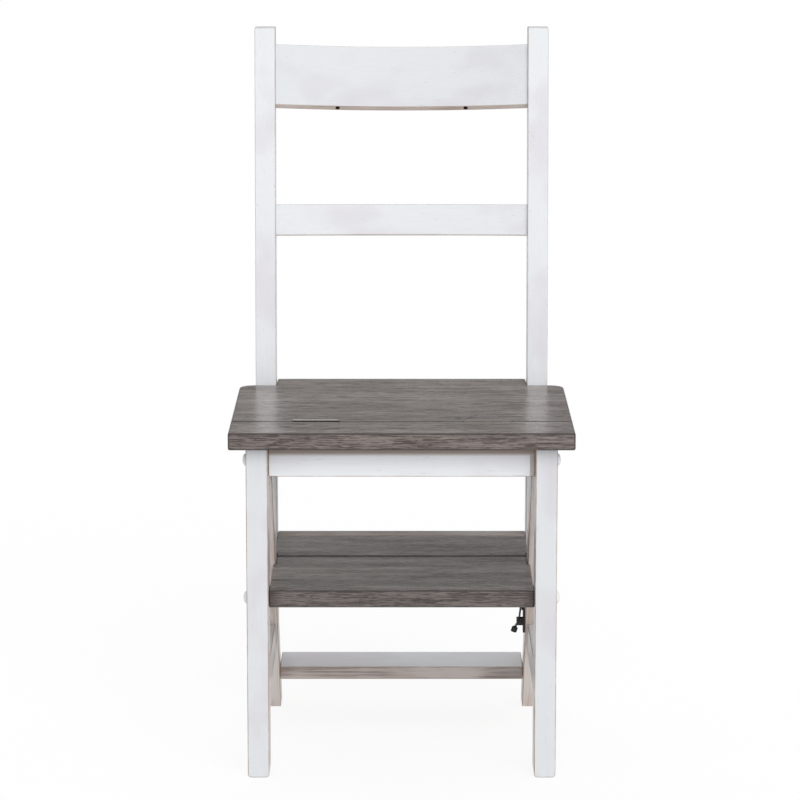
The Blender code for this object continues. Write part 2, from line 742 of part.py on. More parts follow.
def bottom_stretcher(carrier):
    """The flat white board between the rear feet, held by the front stringers."""
    half = STRINGER_INNER - FIT_GAP
    back = SEAM_FLOOR_DEPTH - BOTTOM_STRETCHER_SETBACK
    bottom = BOTTOM_STRETCHER_TOP - BOTTOM_STRETCHER_THICKNESS
    outline = box_outline(back - BOTTOM_STRETCHER_DEPTH, back, bottom, BOTTOM_STRETCHER_TOP)
    return board("bottom_stretcher", outline, -half, half, "X", PAINT, carrier)


def front_apron(carrier):
    """The rail under the seat's front, between the legs."""
    half = SIDE_INNER - FIT_GAP
    top = SEAT_UNDERSIDE - FIT_GAP
    outline = box_outline(APRON_FRONT, APRON_FRONT + APRON_THICKNESS, top - APRON_WIDTH, top)
    return board("front_apron", outline, -half, half, "X", PAINT, carrier)


def knuckle_spans(middle):
    """The X spans of a hinge's knuckles, shared out along its length with a gap between neighbours."""
    pitch = HINGE_LENGTH / KNUCKLE_COUNT
    start = middle - HINGE_LENGTH / 2
    spans = []
    for i in range(KNUCKLE_COUNT):
        spans.append((start + i * pitch + KNUCKLE_GAP / 2, start + (i + 1) * pitch - KNUCKLE_GAP / 2))
    return spans


def leaf_outline(spans, own):
    """A leaf seen square on: up to the pin between its own knuckles, and notched below the other leaf's."""
    low = HINGE_HEIGHT - LEAF_DROP
    notch = HINGE_HEIGHT - KNUCKLE_RADIUS - KNUCKLE_GAP
    left, right = spans[0][0], spans[-1][1]
    outline = [(left, low)]
    for i, (start, end) in enumerate(spans):
        if i % 2 == own:
            outline += [(start, HINGE_HEIGHT), (end, HINGE_HEIGHT)]
        else:
            outline += [(max(start - KNUCKLE_GAP, left), notch), (min(end + KNUCKLE_GAP, right), notch)]
    return list(dict.fromkeys([*outline, (right, low)]))


def hinge_leaf(name, middle, facing, own, carrier):
    """One leaf: a plate let into a board's edge, with its own knuckles bored for the pin."""
    spans = knuckle_spans(middle)
    near = SEAT_STRIP_DEPTH + facing * (SEAT_SPLIT_GAP / 2 + FIT_GAP)
    shape = bmesh.new()
    add_prism(shape, leaf_outline(spans, own), near, near + facing * LEAF_THICKNESS, "Y")
    leaf = mesh_object(name, shape, STEEL, carrier, smooth=True)
    barrels = bmesh.new()
    for start, end in spans[own::2]:
        place = (start, SEAT_STRIP_DEPTH, HINGE_HEIGHT)
        profile = [(0, KNUCKLE_RADIUS), (end - start, KNUCKLE_RADIUS)]
        add_turning(barrels, profile, place, (1, 0, 0), ROUND_SIDES)
    combine(leaf, helper(f"{name}_barrels", barrels, carrier), "UNION")
    start = (middle - HINGE_LENGTH / 2 - OVERRUN, SEAT_STRIP_DEPTH, HINGE_HEIGHT)
    bore = PIN_RADIUS + FIT_GAP
    cut_bore(leaf, f"{name}_bore", [(0, bore), (HINGE_LENGTH + 2 * OVERRUN, bore)], start, (1, 0, 0))
    return leaf


def cut_hinge_pocket(seat_piece, name, middle, facing):
    """Let a hinge into a board's split edge: a deep slot for the leaf and a trough for the knuckles."""
    edge = SEAT_STRIP_DEPTH - facing * OVERRUN
    trough = SEAT_STRIP_DEPTH + facing * (KNUCKLE_RADIUS + 2 * KNUCKLE_GAP)
    slot = SEAT_STRIP_DEPTH + facing * (SEAT_SPLIT_GAP / 2 + LEAF_THICKNESS + 2 * FIT_GAP)
    trough_floor = HINGE_HEIGHT - KNUCKLE_RADIUS - 2 * KNUCKLE_GAP
    slot_floor = HINGE_HEIGHT - LEAF_DROP - FIT_GAP
    top = HINGE_HEIGHT + OVERRUN
    outline = [
        (edge, top),
        (trough, top),
        (trough, trough_floor),
        (slot, trough_floor),
        (slot, slot_floor),
        (edge, slot_floor),
    ]
    half = HINGE_LENGTH / 2 + PIN_HEAD_HEIGHT + FIT_GAP
    cut_prism(seat_piece, name, outline, middle - half, middle + half, "X")


def hinge(word, middle, seat_pieces, carriers):
    """A butt hinge: its pin, and for each board a leaf, its pocket and its two screws."""
    plate_top = HINGE_HEIGHT - KNUCKLE_RADIUS - KNUCKLE_GAP
    screw_height = (plate_top + HINGE_HEIGHT - LEAF_DROP) / 2
    for own, (facing, half_name) in enumerate(((-1, "front"), (1, "rear"))):
        seat_piece, carrier = seat_pieces[own], carriers[own]
        leaf = hinge_leaf(f"hinge_{half_name}_leaf_{word}", middle, facing, own, carrier)
        cut_hinge_pocket(seat_piece, f"{half_name}_pocket_{word}", middle, facing)
        face = SEAT_STRIP_DEPTH + facing * (SEAT_SPLIT_GAP / 2 + FIT_GAP)
        for side, screw_word in SIDES:
            name = f"hinge_{half_name}_screw_{word}_{screw_word}"
            place = (middle + side * HINGE_SCREW_SPACING / 2, face, screw_height)
            wood_screw(name, leaf, seat_piece, LEAF_THICKNESS, place, (0, facing, 0), STEEL, carrier)
    profile = headed_pin(HINGE_LENGTH / 2, PIN_RADIUS, PIN_HEAD_RADIUS, PIN_HEAD_HEIGHT)
    place = (middle, SEAT_STRIP_DEPTH, HINGE_HEIGHT)
    turned(f"hinge_pin_{word}", profile, place, (1, 0, 0), STEEL, carriers[0], BORE_SIDES)


def latch_axis():
    """The middle of the lever's pivot, inside the front stringer's inner face."""
    x = STRINGER_INNER - FIT_GAP - LATCH_PLATE_THICKNESS - LATCH_PIVOT_STANDOFF
    depth = seam_depth(LATCH_BOTTOM + LATCH_PLATE_HEIGHT / 2) - STRINGER_REACH / 2
    return Vector((LATCH_SIDE * x, depth, LATCH_BOTTOM + LATCH_PIVOT_RISE))


def latch_plate(axis, stringer, front):
    """The latch's plate on the stringer, with two ears, the hole for the locking pin and two screws."""
    face = LATCH_SIDE * (STRINGER_INNER - FIT_GAP)
    inner = face - LATCH_SIDE * LATCH_PLATE_THICKNESS
    low, half_width = LATCH_BOTTOM, LATCH_PLATE_WIDTH / 2
    corners = box_outline(axis.y - half_width, axis.y + half_width, low, low + LATCH_PLATE_HEIGHT)
    shape = bmesh.new()
    add_prism(shape, rounded(corners, LATCH_PLATE_CORNER, LATCH_CORNER_SIDES), inner, face, "X")
    plate = mesh_object("latch_plate", shape, BLACK, front)
    ears = bmesh.new()
    ear_tip = axis.x - LATCH_SIDE * LATCH_BARREL_RADIUS
    ear_root = inner + LATCH_SIDE * LATCH_PLATE_THICKNESS / 2
    ear = box_outline(ear_tip, ear_root, axis.z - LATCH_EAR_HEIGHT / 2, axis.z + LATCH_EAR_HEIGHT / 2)
    for direction in (-1, 1):
        start = axis.y + direction * (LATCH_LEVER_WIDTH / 2 + FIT_GAP)
        add_prism(ears, ear, start, start + direction * LATCH_EAR_THICKNESS, "Y")
    combine(plate, helper("latch_ears", ears, front), "UNION")
    reach = LATCH_LEVER_WIDTH / 2 + FIT_GAP + LATCH_EAR_THICKNESS + OVERRUN
    bore = LATCH_PIVOT_RADIUS + FIT_GAP
    across = (axis.x, axis.y - reach, axis.z)
    cut_bore(plate, "latch_pivot_bore", [(0, bore), (2 * reach, bore)], across, (0, 1, 0))

    hole = LATCH_PIN_RADIUS + LATCH_PIN_PLAY
    outward = (LATCH_SIDE, 0, 0)
    mouth = (inner - LATCH_SIDE * OVERRUN, axis.y, axis.z + LATCH_PIN_RISE)
    through = LATCH_PLATE_THICKNESS + 2 * OVERRUN
    cut_bore(plate, "latch_plate_hole", [(0, hole), (through, hole)], mouth, outward)
    deep = OVERRUN + LATCH_PLATE_THICKNESS + 2 * LATCH_PIN_ENTRY
    cut_bore(stringer, "latch_stringer_hole", [(0, hole), (deep, hole)], mouth, outward)
    for direction, word in ((-1, "front"), (1, "rear")):
        place = (inner, axis.y + direction * LATCH_SCREW_SPACING / 2, low + LATCH_SCREW_RISE)
        name = f"latch_screw_{word}"
        wood_screw(name, plate, stringer, LATCH_PLATE_THICKNESS, place, outward, BLACK, front)
    return inner


def latch_lever(axis, swing):
    """The lever with its barrel: an arm up to the locking pin and a foot turned out for the knob."""
    thickness = LATCH_LEVER_THICKNESS / 2
    line = (
        (LATCH_SIDE * LATCH_ARM_LEAN, LATCH_ARM_RISE),
        (0, 0),
        (-LATCH_SIDE * LATCH_FOOT_OUT, -LATCH_FOOT_DROP),
    )
    outline = [(axis.x + x + thickness, axis.z + rise) for x, rise in line]
    outline += [(axis.x + x - thickness, axis.z + rise) for x, rise in line[::-1]]
    half = LATCH_LEVER_WIDTH / 2
    shape = bmesh.new()
    add_prism(shape, outline, axis.y - half, axis.y + half, "Y")
    lever = mesh_object("latch_lever", shape, BLACK, swing)
    barrel = bmesh.new()
    start = (axis.x, axis.y - half, axis.z)
    profile = [(0, LATCH_BARREL_RADIUS), (LATCH_LEVER_WIDTH, LATCH_BARREL_RADIUS)]
    add_turning(barrel, profile, start, (0, 1, 0), ROUND_SIDES)
    combine(lever, helper("latch_barrel", barrel, swing), "UNION")
    bore = LATCH_PIVOT_RADIUS + FIT_GAP
    behind = (axis.x, axis.y - half - OVERRUN, axis.z)
    steps = [(0, bore), (LATCH_LEVER_WIDTH + 2 * OVERRUN, bore)]
    cut_bore(lever, "latch_lever_bore", steps, behind, (0, 1, 0))


def latch(stringer, front, swing):
    """The latch on the stringer's inner face: plate, pivot, lever, locking pin and knob."""
    axis = latch_axis()
    plate_face = latch_plate(axis, stringer, front)
    latch_lever(axis, swing)
    half = LATCH_LEVER_WIDTH / 2 + LATCH_EAR_THICKNESS + 2 * FIT_GAP
    rivet = headed_pin(half, LATCH_PIVOT_RADIUS, LATCH_PIVOT_HEAD_RADIUS, LATCH_PIVOT_HEAD_HEIGHT)
    turned("latch_pivot", rivet, axis, (0, 1, 0), BLACK, front, BORE_SIDES)

    # The pin stands on the leaning arm, so its clearance is measured from the arm at the pin's upper side
    arm_out = LATCH_ARM_LEAN * (LATCH_PIN_RISE + LATCH_PIN_RADIUS) / LATCH_ARM_RISE
    root = axis.x + LATCH_SIDE * (arm_out + LATCH_LEVER_THICKNESS / 2 + FIT_GAP)
    reach = abs(plate_face - root) + LATCH_PIN_ENTRY
    shoulder = reach - LATCH_PIN_TAPER
    pin = [
        (0, 0),
        (0, LATCH_PIN_RADIUS),
        (shoulder, LATCH_PIN_RADIUS),
        (reach, LATCH_PIN_TIP_RADIUS),
        (reach, 0),
    ]
    place = (root, axis.y, axis.z + LATCH_PIN_RISE)
    turned("latch_pin", pin, place, (LATCH_SIDE, 0, 0), BLACK, swing, BORE_SIDES)

    angles = turn_angles(KNOB_SIDES, math.pi)[1:-1]
    ball = [(KNOB_LENGTH - KNOB_RADIUS * (1 + math.cos(a)), KNOB_RADIUS * math.sin(a)) for a in angles]
    knob = [(0, 0), (0, KNOB_NECK_RADIUS), *ball, (KNOB_LENGTH, 0)]
    place = (axis.x - LATCH_SIDE * LATCH_FOOT_OUT, axis.y, axis.z - LATCH_FOOT_DROP - FIT_GAP)
    turned("latch_knob", knob, place, (0, 0, -1), BLACK, swing, BORE_SIDES)


def build_front_frame(front):
    """Everything that stays on the floor. Returns the seat's front board and the front stringers."""
    legs, stringers = {}, {}
    for side, word in SIDES:
        legs[side] = front_leg(f"front_leg_{word}", side, front)
        stringers[side] = front_stringer(f"front_stringer_{word}", side, front)
        side_stretcher(f"side_stretcher_{word}", side, front)
    apron = front_apron(front)
    step = front_step_board(front)
    bottom_stretcher(front)
    for side, word in SIDES:
        apron_middle = SEAT_UNDERSIDE - FIT_GAP - APRON_WIDTH / 2
        bolt_and_cap("apron", word, side, legs[side], apron, apron_middle, front)
        bolt_and_cap("step", word, side, legs[side], step, STEP_TOP - STEP_THICKNESS / 2, front)
    strip_back = SEAT_STRIP_DEPTH - SEAT_SPLIT_GAP / 2
    return seat_board("seat_front_board", strip_back, SEAT_BACK + OVERRUN, front), stringers


def build_rear_frame(rear):
    """Everything that turns over with the back. Returns the seat's rear board."""
    posts = {}
    for side, word in SIDES:
        posts[side] = rear_post(f"rear_post_{word}", side, rear)
        rear_stringer(f"rear_stringer_{word}", side, rear)
        rear_side_rail(f"rear_side_rail_{word}", side, rear)
    rear_apron(posts, rear)
    rear_step_board(rear)
    rear_step_rail(posts, rear)
    crest_rail(posts, rear)
    back_slat(posts, rear)
    return seat_board("seat_rear_board", -OVERRUN, SEAT_STRIP_DEPTH + SEAT_SPLIT_GAP / 2, rear)


def build_chair():
    """Build the chair with the origin on the floor, in the middle of its width and depth."""
    clear_scene()
    chair = pivot("step_chair", (0, -ORIGIN_DEPTH, 0))
    front = pivot("front_frame", (0, 0, 0), chair)
    rear = pivot("rear_frame", (0, SEAT_STRIP_DEPTH, HINGE_HEIGHT), chair)
    swing = pivot("latch_swing", latch_axis(), front)
    strip, stringers = build_front_frame(front)
    main = build_rear_frame(rear)
    for side, word in SIDES:
        hinge(word, side * HINGE_SPACING / 2, (strip, main), (front, rear))
    latch(stringers[LATCH_SIDE], front, swing)


build_chair()
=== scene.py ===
"""The finished look of the library step chair: worn white paint, grey-brown boards, black and steel hardware.

Every timber is a surface worked out as whole arrays: an outline carried along one axis, or a section carried
along a bow, with its arrises rounded. Lengths are in metres, +Z is up and +X is the right of someone who
stands in front of the chair. A depth runs back from the seat's front edge.
"""

import json
import logging
import math
from dataclasses import dataclass
from enum import Enum
from typing import Callable, Sequence

import bmesh
import bpy
import numpy as np
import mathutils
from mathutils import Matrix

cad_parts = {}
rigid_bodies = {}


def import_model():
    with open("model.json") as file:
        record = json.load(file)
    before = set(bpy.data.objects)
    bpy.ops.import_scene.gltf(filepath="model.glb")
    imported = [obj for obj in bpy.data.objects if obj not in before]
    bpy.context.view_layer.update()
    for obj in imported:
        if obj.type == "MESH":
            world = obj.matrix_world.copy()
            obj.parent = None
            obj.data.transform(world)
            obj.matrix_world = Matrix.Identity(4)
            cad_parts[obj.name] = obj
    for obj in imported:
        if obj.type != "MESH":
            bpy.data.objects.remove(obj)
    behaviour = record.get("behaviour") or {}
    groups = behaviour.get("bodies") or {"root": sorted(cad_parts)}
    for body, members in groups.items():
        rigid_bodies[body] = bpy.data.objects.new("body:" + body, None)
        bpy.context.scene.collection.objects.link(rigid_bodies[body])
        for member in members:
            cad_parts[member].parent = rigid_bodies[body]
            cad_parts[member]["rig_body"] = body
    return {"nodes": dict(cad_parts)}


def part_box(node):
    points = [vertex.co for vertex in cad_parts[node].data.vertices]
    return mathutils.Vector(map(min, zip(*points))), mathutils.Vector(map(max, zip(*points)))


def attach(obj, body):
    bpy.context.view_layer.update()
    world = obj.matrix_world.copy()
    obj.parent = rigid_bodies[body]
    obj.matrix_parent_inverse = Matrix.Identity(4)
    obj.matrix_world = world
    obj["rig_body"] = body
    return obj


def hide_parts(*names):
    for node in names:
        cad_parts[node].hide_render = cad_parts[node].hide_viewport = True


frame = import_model()

log = logging.getLogger("step_chair")

Material = bpy.types.Material
Mesh = bpy.types.Mesh
Piece = bpy.types.Object
Socket = bpy.types.NodeSocket
Colour = tuple[float, float, float]
Vector = tuple[float, float, float]
Span = tuple[float, ...]
Outline = Sequence[Sequence[float]]
Profile = Sequence[tuple[float, float]]
Bare = Sequence[tuple[Vector, float]]

SIDES = ((-1, "left"), (1, "right"))
DOWN = (0, 0, -1)
BOARD_EDGES = (((0, -1, 0), 1.0), ((-1, 0, 0), 1.0), ((1, 0, 0), 1.0), ((0, 1, 0), 1.0))
QUARTER = math.pi / 2
SEAM_SLOPE = math.radians(37.3)
ARC_STEPS = 4
ROUND_STEPS = 48
BOW_STATIONS = 33
HALVINGS = 40
FAN_ABOVE = math.radians(20)
SHARP_ABOVE = math.radians(35)
STRAIGHT = 0.99999
TINY = 1e-9
MERGE_DISTANCE = 1e-6
SAME_PLACE = 1e-5
ALONG_SHARE = 0.02
ASLANT = 0.5
THIN_FROM, THIN_OVER = 0.5, 0.4
BENT_FROM, BENT_FULL = 0.995, 0.86
BEVEL_SAMPLES = 6
SHADING_WEIGHT = 100
FIT_GAP = 0.0003
VALUES = ("wear", "bare", "groove")
NOWHERE = (10.0, 11.0)
SEEDS = {
    "front_leg": 1.3,
    "front_stringer": 4.1,
    "rear_stringer": 4.1,
    "side_stretcher": 6.2,
    "rear_side_rail": 8.2,
    "rear_post": 10.7,
    "front_apron": 21.0,
    "bottom_stretcher": 22.5,
    "rear_apron": 24.1,
    "rear_step_rail": 25.7,
    "crest_rail": 31.0,
    "back_slat": 33.0,
    "seat_front_board": 3.0,
    "seat_rear_board": 5.6,
    "front_step": 8.3,
    "rear_step": 11.9,
}


class Lie(Enum):
    """The axis that a timber's outline is carried along, with the order of its three coordinates."""

    ACROSS = (2, 0, 1)
    BACKWARDS = (0, 2, 1)
    UP = (0, 1, 2)

    @property
    def axis(self) -> int:
        """The number of the axis."""
        return self.value.index(2)


class Grain(Enum):
    """Which way a timber's grain runs, as the turn that brings it onto X."""

    ACROSS = (0.0, 0.0, 0.0)
    UPRIGHT = (0.0, QUARTER, 0.0)
    SLOPED = (-SEAM_SLOPE, QUARTER, 0.0)
    BACKWARDS = (0.0, 0.0, -QUARTER)


@dataclass
class Surface:
    """A mesh in arrays: points, faces as lists of point numbers, and named values at the points."""

    points: np.ndarray
    faces: list[list[int]]
    values: dict[str, np.ndarray]

    def mesh(self, name: str) -> Mesh:
        """Put the arrays into a mesh, merge its doubles and turn its faces outwards.

        Args:
            name: The mesh's name.

        Returns:
            A smooth mesh whose real corners stay sharp.
        """
        made = bpy.data.meshes.new(name)
        made.from_pydata(self.points.tolist(), [], self.faces)
        for label, values in self.values.items():
            attribute = made.attributes.new(label, "FLOAT", "POINT")
            attribute.data.foreach_set("value", values.astype(np.float32).ravel())
        shape = bmesh.new()
        shape.from_mesh(made)
        bmesh.ops.remove_doubles(shape, verts=shape.verts[:], dist=MERGE_DISTANCE)
        bmesh.ops.recalc_face_normals(shape, faces=shape.faces[:])
        shape.to_mesh(made)
        shape.free()
        made.shade_smooth()
        made.set_sharp_from_angle(angle=SHARP_ABOVE)
        return made


def closed_grid(rows: int, columns: int, capped: bool = True) -> list[list[int]]:
    """Faces of a tube of points: quads between neighbouring rings, and a face over each end.

    Args:
        rows: Number of rings.
        columns: Points in each ring.
        capped: Whether the first and the last ring are filled.

    Returns:
        Faces over points numbered ring by ring.
    """
    row, column = np.meshgrid(np.arange(rows - 1), np.arange(columns), indexing="ij")
    here, there, ahead = row * columns, (row + 1) * columns, (column + 1) % columns
    quads = [here + column, here + ahead, there + ahead, there + column]
    faces = np.stack(quads, -1).reshape(-1, 4).tolist()
    if capped:
        faces.append(list(range(columns))[::-1])
        faces.append(list(range((rows - 1) * columns, rows * columns)))
    return faces


@dataclass(frozen=True)
class CloseEdges:
    """The edges of an outline that lie close to a neighbour, by their first corners, and their radius."""

    edges: tuple[int, ...] = ()
    radius: float = 0.0


@dataclass(frozen=True)
class Spokes:
    """An outline drawn in by its edges' radii, and the outward vectors that carry it back out."""

    inner: np.ndarray
    outward: np.ndarray
    fan: np.ndarray
    close: np.ndarray

    @staticmethod
    def around(outline: Outline, radius: float, near: CloseEdges = CloseEdges()) -> "Spokes":
        """Work out the spokes of an outline.

        A corner is drawn in along the vector whose parts along its two edge normals are their radii. A corner
        that turns outwards by more than a little gets a fan of vectors from one normal to the other, whose
        length runs from one radius to the other. Every other corner keeps its own vector as its only spoke.

        Args:
            outline: Corners in order, either way round.
            radius: How far the outline is drawn in.
            near: The edges with a radius of their own.

        Returns:
            The spokes, anticlockwise.
        """
        points = np.asarray(outline, float)
        marks = np.isin(np.arange(len(points)), near.edges).astype(float)
        following = np.roll(points, -1, 0)
        if (points[:, 0] * following[:, 1] - points[:, 1] * following[:, 0]).sum() < 0:
            points, marks = points[::-1], np.roll(marks[::-1], -1)
        radii = radius + (near.radius - radius) * marks
        along = np.roll(points, -1, 0) - points
        along /= np.linalg.norm(along, axis=1, keepdims=True)
        leaving = np.stack([along[:, 1], -along[:, 0]], 1)
        arriving = np.roll(leaving, 1, 0)
        out, back = radii[:, None], np.roll(radii, 1)[:, None]
        meeting = (leaving * arriving).sum(1, keepdims=True)
        slant = np.maximum(1 - meeting**2, TINY)
        mitre = (arriving * (back - out * meeting) + leaving * (out - back * meeting)) / slant
        mitre = np.where(meeting > STRAIGHT, leaving * out, mitre)
        turn = np.arctan2(arriving[:, 0] * leaving[:, 1] - arriving[:, 1] * leaving[:, 0], meeting[:, 0])
        fanned = turn > FAN_ABOVE
        steps = np.where(fanned, ARC_STEPS, 0)
        owner = np.repeat(np.arange(len(points)), steps + 1)
        first = np.cumsum(steps + 1) - (steps + 1)
        share = (np.arange(len(owner)) - first[owner]) / np.maximum(steps[owner], 1)
        angle = np.arctan2(arriving[owner, 1], arriving[owner, 0]) + turn[owner] * share
        length = back[owner, 0] + (out - back)[owner, 0] * share
        spread = fanned[owner]
        fan = np.stack([np.cos(angle), np.sin(angle)], 1) * length[:, None]
        outward = np.where(spread[:, None], fan, mitre[owner])
        before = np.roll(marks, 1)
        between = before[owner] + (marks - before)[owner] * share
        close = np.where(spread, between, np.minimum(marks, before)[owner])
        inner = points[owner] - mitre[owner]
        return Spokes(inner, outward, np.where(spread, np.sin(math.pi * share), 0), close)


# On the painted timbers, faces that turn inwards or down get a tan here that is painted shade as well as
# thinned paint; on the boards the same share marks the edges.
def bare_share(normals: np.ndarray, bare: Bare) -> np.ndarray:
    """How far each point takes the colour of thinned paint and painted shade, from the way it faces.

    The share rises from nothing to a direction's own amount as the normal's part along that direction goes
    from a half to nine tenths, and the largest share wins.

    Args:
        normals: Unit normals.
        bare: Directions, each with its amount.

    Returns:
        One share for each normal.
    """
    shares = np.zeros(normals.shape[:-1])
    for direction, amount in bare:
        facing = normals @ np.asarray(direction, float)
        shares = np.maximum(shares, amount * np.clip((facing - THIN_FROM) / THIN_OVER, 0, 1))
    return shares


def slab(
    outline: Outline,
    low: float,
    high: float,
    lie: Lie,
    radius: float,
    bare: Bare = (),
    near: CloseEdges = CloseEdges(),
) -> Surface:
    """A timber: an outline carried straight from low to high, with every arris rounded.

    With an angle running over a quarter turn at each end, a point is the inner outline plus its spoke times
    the angle's cosine, and its place along the axis is the end drawn in by the radius and let out again by
    the radius times the angle's sine. The wear is greatest halfway round each arris, and the groove value is
    one on an edge where a neighbour lies close.

    Args:
        outline: Corners in the two coordinates square to the axis.
        low: Where it starts along the axis.
        high: Where it ends.
        lie: The axis.
        radius: The arrises' radius.
        bare: Directions in which the paint is thinned and painted shade lies, with amounts.
        near: The edges that lie close to a neighbour.

    Returns:
        The surface, with its wear, bare and groove values.
    """
    spokes = Spokes.around(outline, radius, near)
    start = np.linspace(-QUARTER, 0, ARC_STEPS + 1)
    angle = np.concatenate([start, start + QUARTER])
    end = np.concatenate([np.full(ARC_STEPS + 1, low + radius), np.full(ARC_STEPS + 1, high - radius)])
    flat = spokes.inner[None] + np.cos(angle)[:, None, None] * spokes.outward[None]
    along = np.broadcast_to((end + radius * np.sin(angle))[:, None, None], (*flat.shape[:2], 1))
    order = list(lie.value)
    points = np.concatenate([flat, along], -1)[..., order]
    unit = spokes.outward / np.linalg.norm(spokes.outward, axis=1, keepdims=True)
    sideways = np.cos(angle)[:, None, None] * unit[None]
    lengthways = np.broadcast_to(np.sin(angle)[:, None, None], (*flat.shape[:2], 1))
    normals = np.concatenate([sideways, lengthways], -1)[..., order]
    arris = np.abs(np.sin(2 * angle))[:, None]
    groove = spokes.close[None] * np.cos(angle)[:, None]
    wear = np.maximum(arris, spokes.fan[None] * np.cos(angle)[:, None]) * (1 - spokes.close[None])
    values = {"wear": wear.ravel(), "bare": bare_share(normals, bare).ravel(), "groove": groove.ravel()}
    return Surface(points.reshape(-1, 3), closed_grid(*flat.shape[:2]), values)


def turning(profile: Profile, place: Sequence[float], direction: Sequence[float]) -> Surface:
    """A turned piece: a radius for each distance along an axis, carried round it.

    A point is the place, plus the direction times the distance, plus the radius times the cosine of its angle
    along one square vector and times its sine along the other.

    Args:
        profile: Distances and radii, from one pole to the other.
        place: Where the distance is zero.
        direction: The axis, of unit length.

    Returns:
        The surface, closed at both poles, with values of one all over, apart from its wear, which is nothing.
    """
    axis = np.asarray(direction, float)
    first = np.cross(axis, (0.0, 1.0, 0.0) if abs(axis[1]) < ASLANT else (0.0, 0.0, 1.0))
    first /= np.linalg.norm(first)
    second = np.cross(axis, first)
    distance, radius = (column[:, None, None] for column in np.asarray(profile, float).T)
    angle = np.linspace(0, 2 * math.pi, ROUND_STEPS, endpoint=False)
    around = np.cos(angle)[:, None] * first + np.sin(angle)[:, None] * second
    points = np.asarray(place, float) + distance * axis + radius * around[None]
    whole = np.ones(points.shape[:2]).ravel()
    values = {"wear": whole * 0, "bare": whole, "groove": whole}
    return Surface(points.reshape(-1, 3), closed_grid(len(profile), ROUND_STEPS), values)


def rounded_profile(profile: Profile, radius: float) -> Profile:
    """A turned profile whose inner corners are rounded.

    Each corner is replaced by points of the quadratic curve that starts and ends this radius away from it, or
    halfway to the next corner where that is nearer.

    Args:
        profile: Distances and radii; the first and the last stay as they are.
        radius: How far from the corner the curve starts.

    Returns:
        The rounded profile.
    """
    points = np.asarray(profile, float)
    share = np.linspace(0, 1, ARC_STEPS + 2)[:, None]
    rounded = [tuple(points[0])]
    for before, corner, after in zip(points, points[1:], points[2:]):
        start = corner + (before - corner) * min(0.5, radius / np.linalg.norm(before - corner))
        end = corner + (after - corner) * min(0.5, radius / np.linalg.norm(after - corner))
        curve = (1 - share) ** 2 * start + 2 * share * (1 - share) * corner + share**2 * end
        rounded += [tuple(point) for point in curve]
    return [*rounded, tuple(points[-1])]


def seed(node: str) -> float:
    """Where in its pattern a timber's wood starts; a left and a right timber start on either side of that.

    Args:
        node: The timber's node.

    Returns:
        The seed.
    """
    for side, word in SIDES:
        if node.endswith(word):
            return SEEDS[node.removesuffix(f"_{word}")] + side
    return SEEDS[node]


def times(factor: float, parts: Vector) -> Vector:
    """A colour or a place times a factor."""
    return tuple(factor * part for part in parts)


@dataclass(frozen=True)
class Pattern:
    """A noise: features to a metre along the grain and across it, fine detail, its roughness and a bend."""

    along: float
    across: float
    detail: float
    rough: float = 0.55
    bend: float = 0.0


class Wiring:
    """A node tree, with one call that adds a node, sets it up and feeds it."""

    def __init__(self, tree: bpy.types.NodeTree) -> None:
        """Work on a tree."""
        self.tree = tree

    def feed(self, socket: Socket, value: object) -> None:
        """Link a socket, or set a constant on it.

        Args:
            socket: The input.
            value: An output, a number, a vector or a colour.
        """
        if isinstance(value, Socket):
            self.tree.links.new(value, socket)
        else:
            socket.default_value = (*value, 1.0) if socket.type == "RGBA" else value

    def node(self, kind: str, inputs: dict[object, object], **settings: object) -> bpy.types.NodeOutputs:
        """Add a node.

        Args:
            kind: Its type, without the words that every shader node's type starts with.
            inputs: What each input gets, by its name or number.
            settings: The node's own settings.

        Returns:
            Its outputs.
        """
        made = self.tree.nodes.new(f"ShaderNode{kind}")
        for label, value in settings.items():
            setattr(made, label, value)
        for label, value in inputs.items():
            self.feed(made.inputs[label], value)
        return made.outputs

    def math(self, operation: str, first: object, second: object = 0.0) -> Socket:
        """One sum on two numbers."""
        return self.node("Math", {0: first, 1: second}, operation=operation)[0]


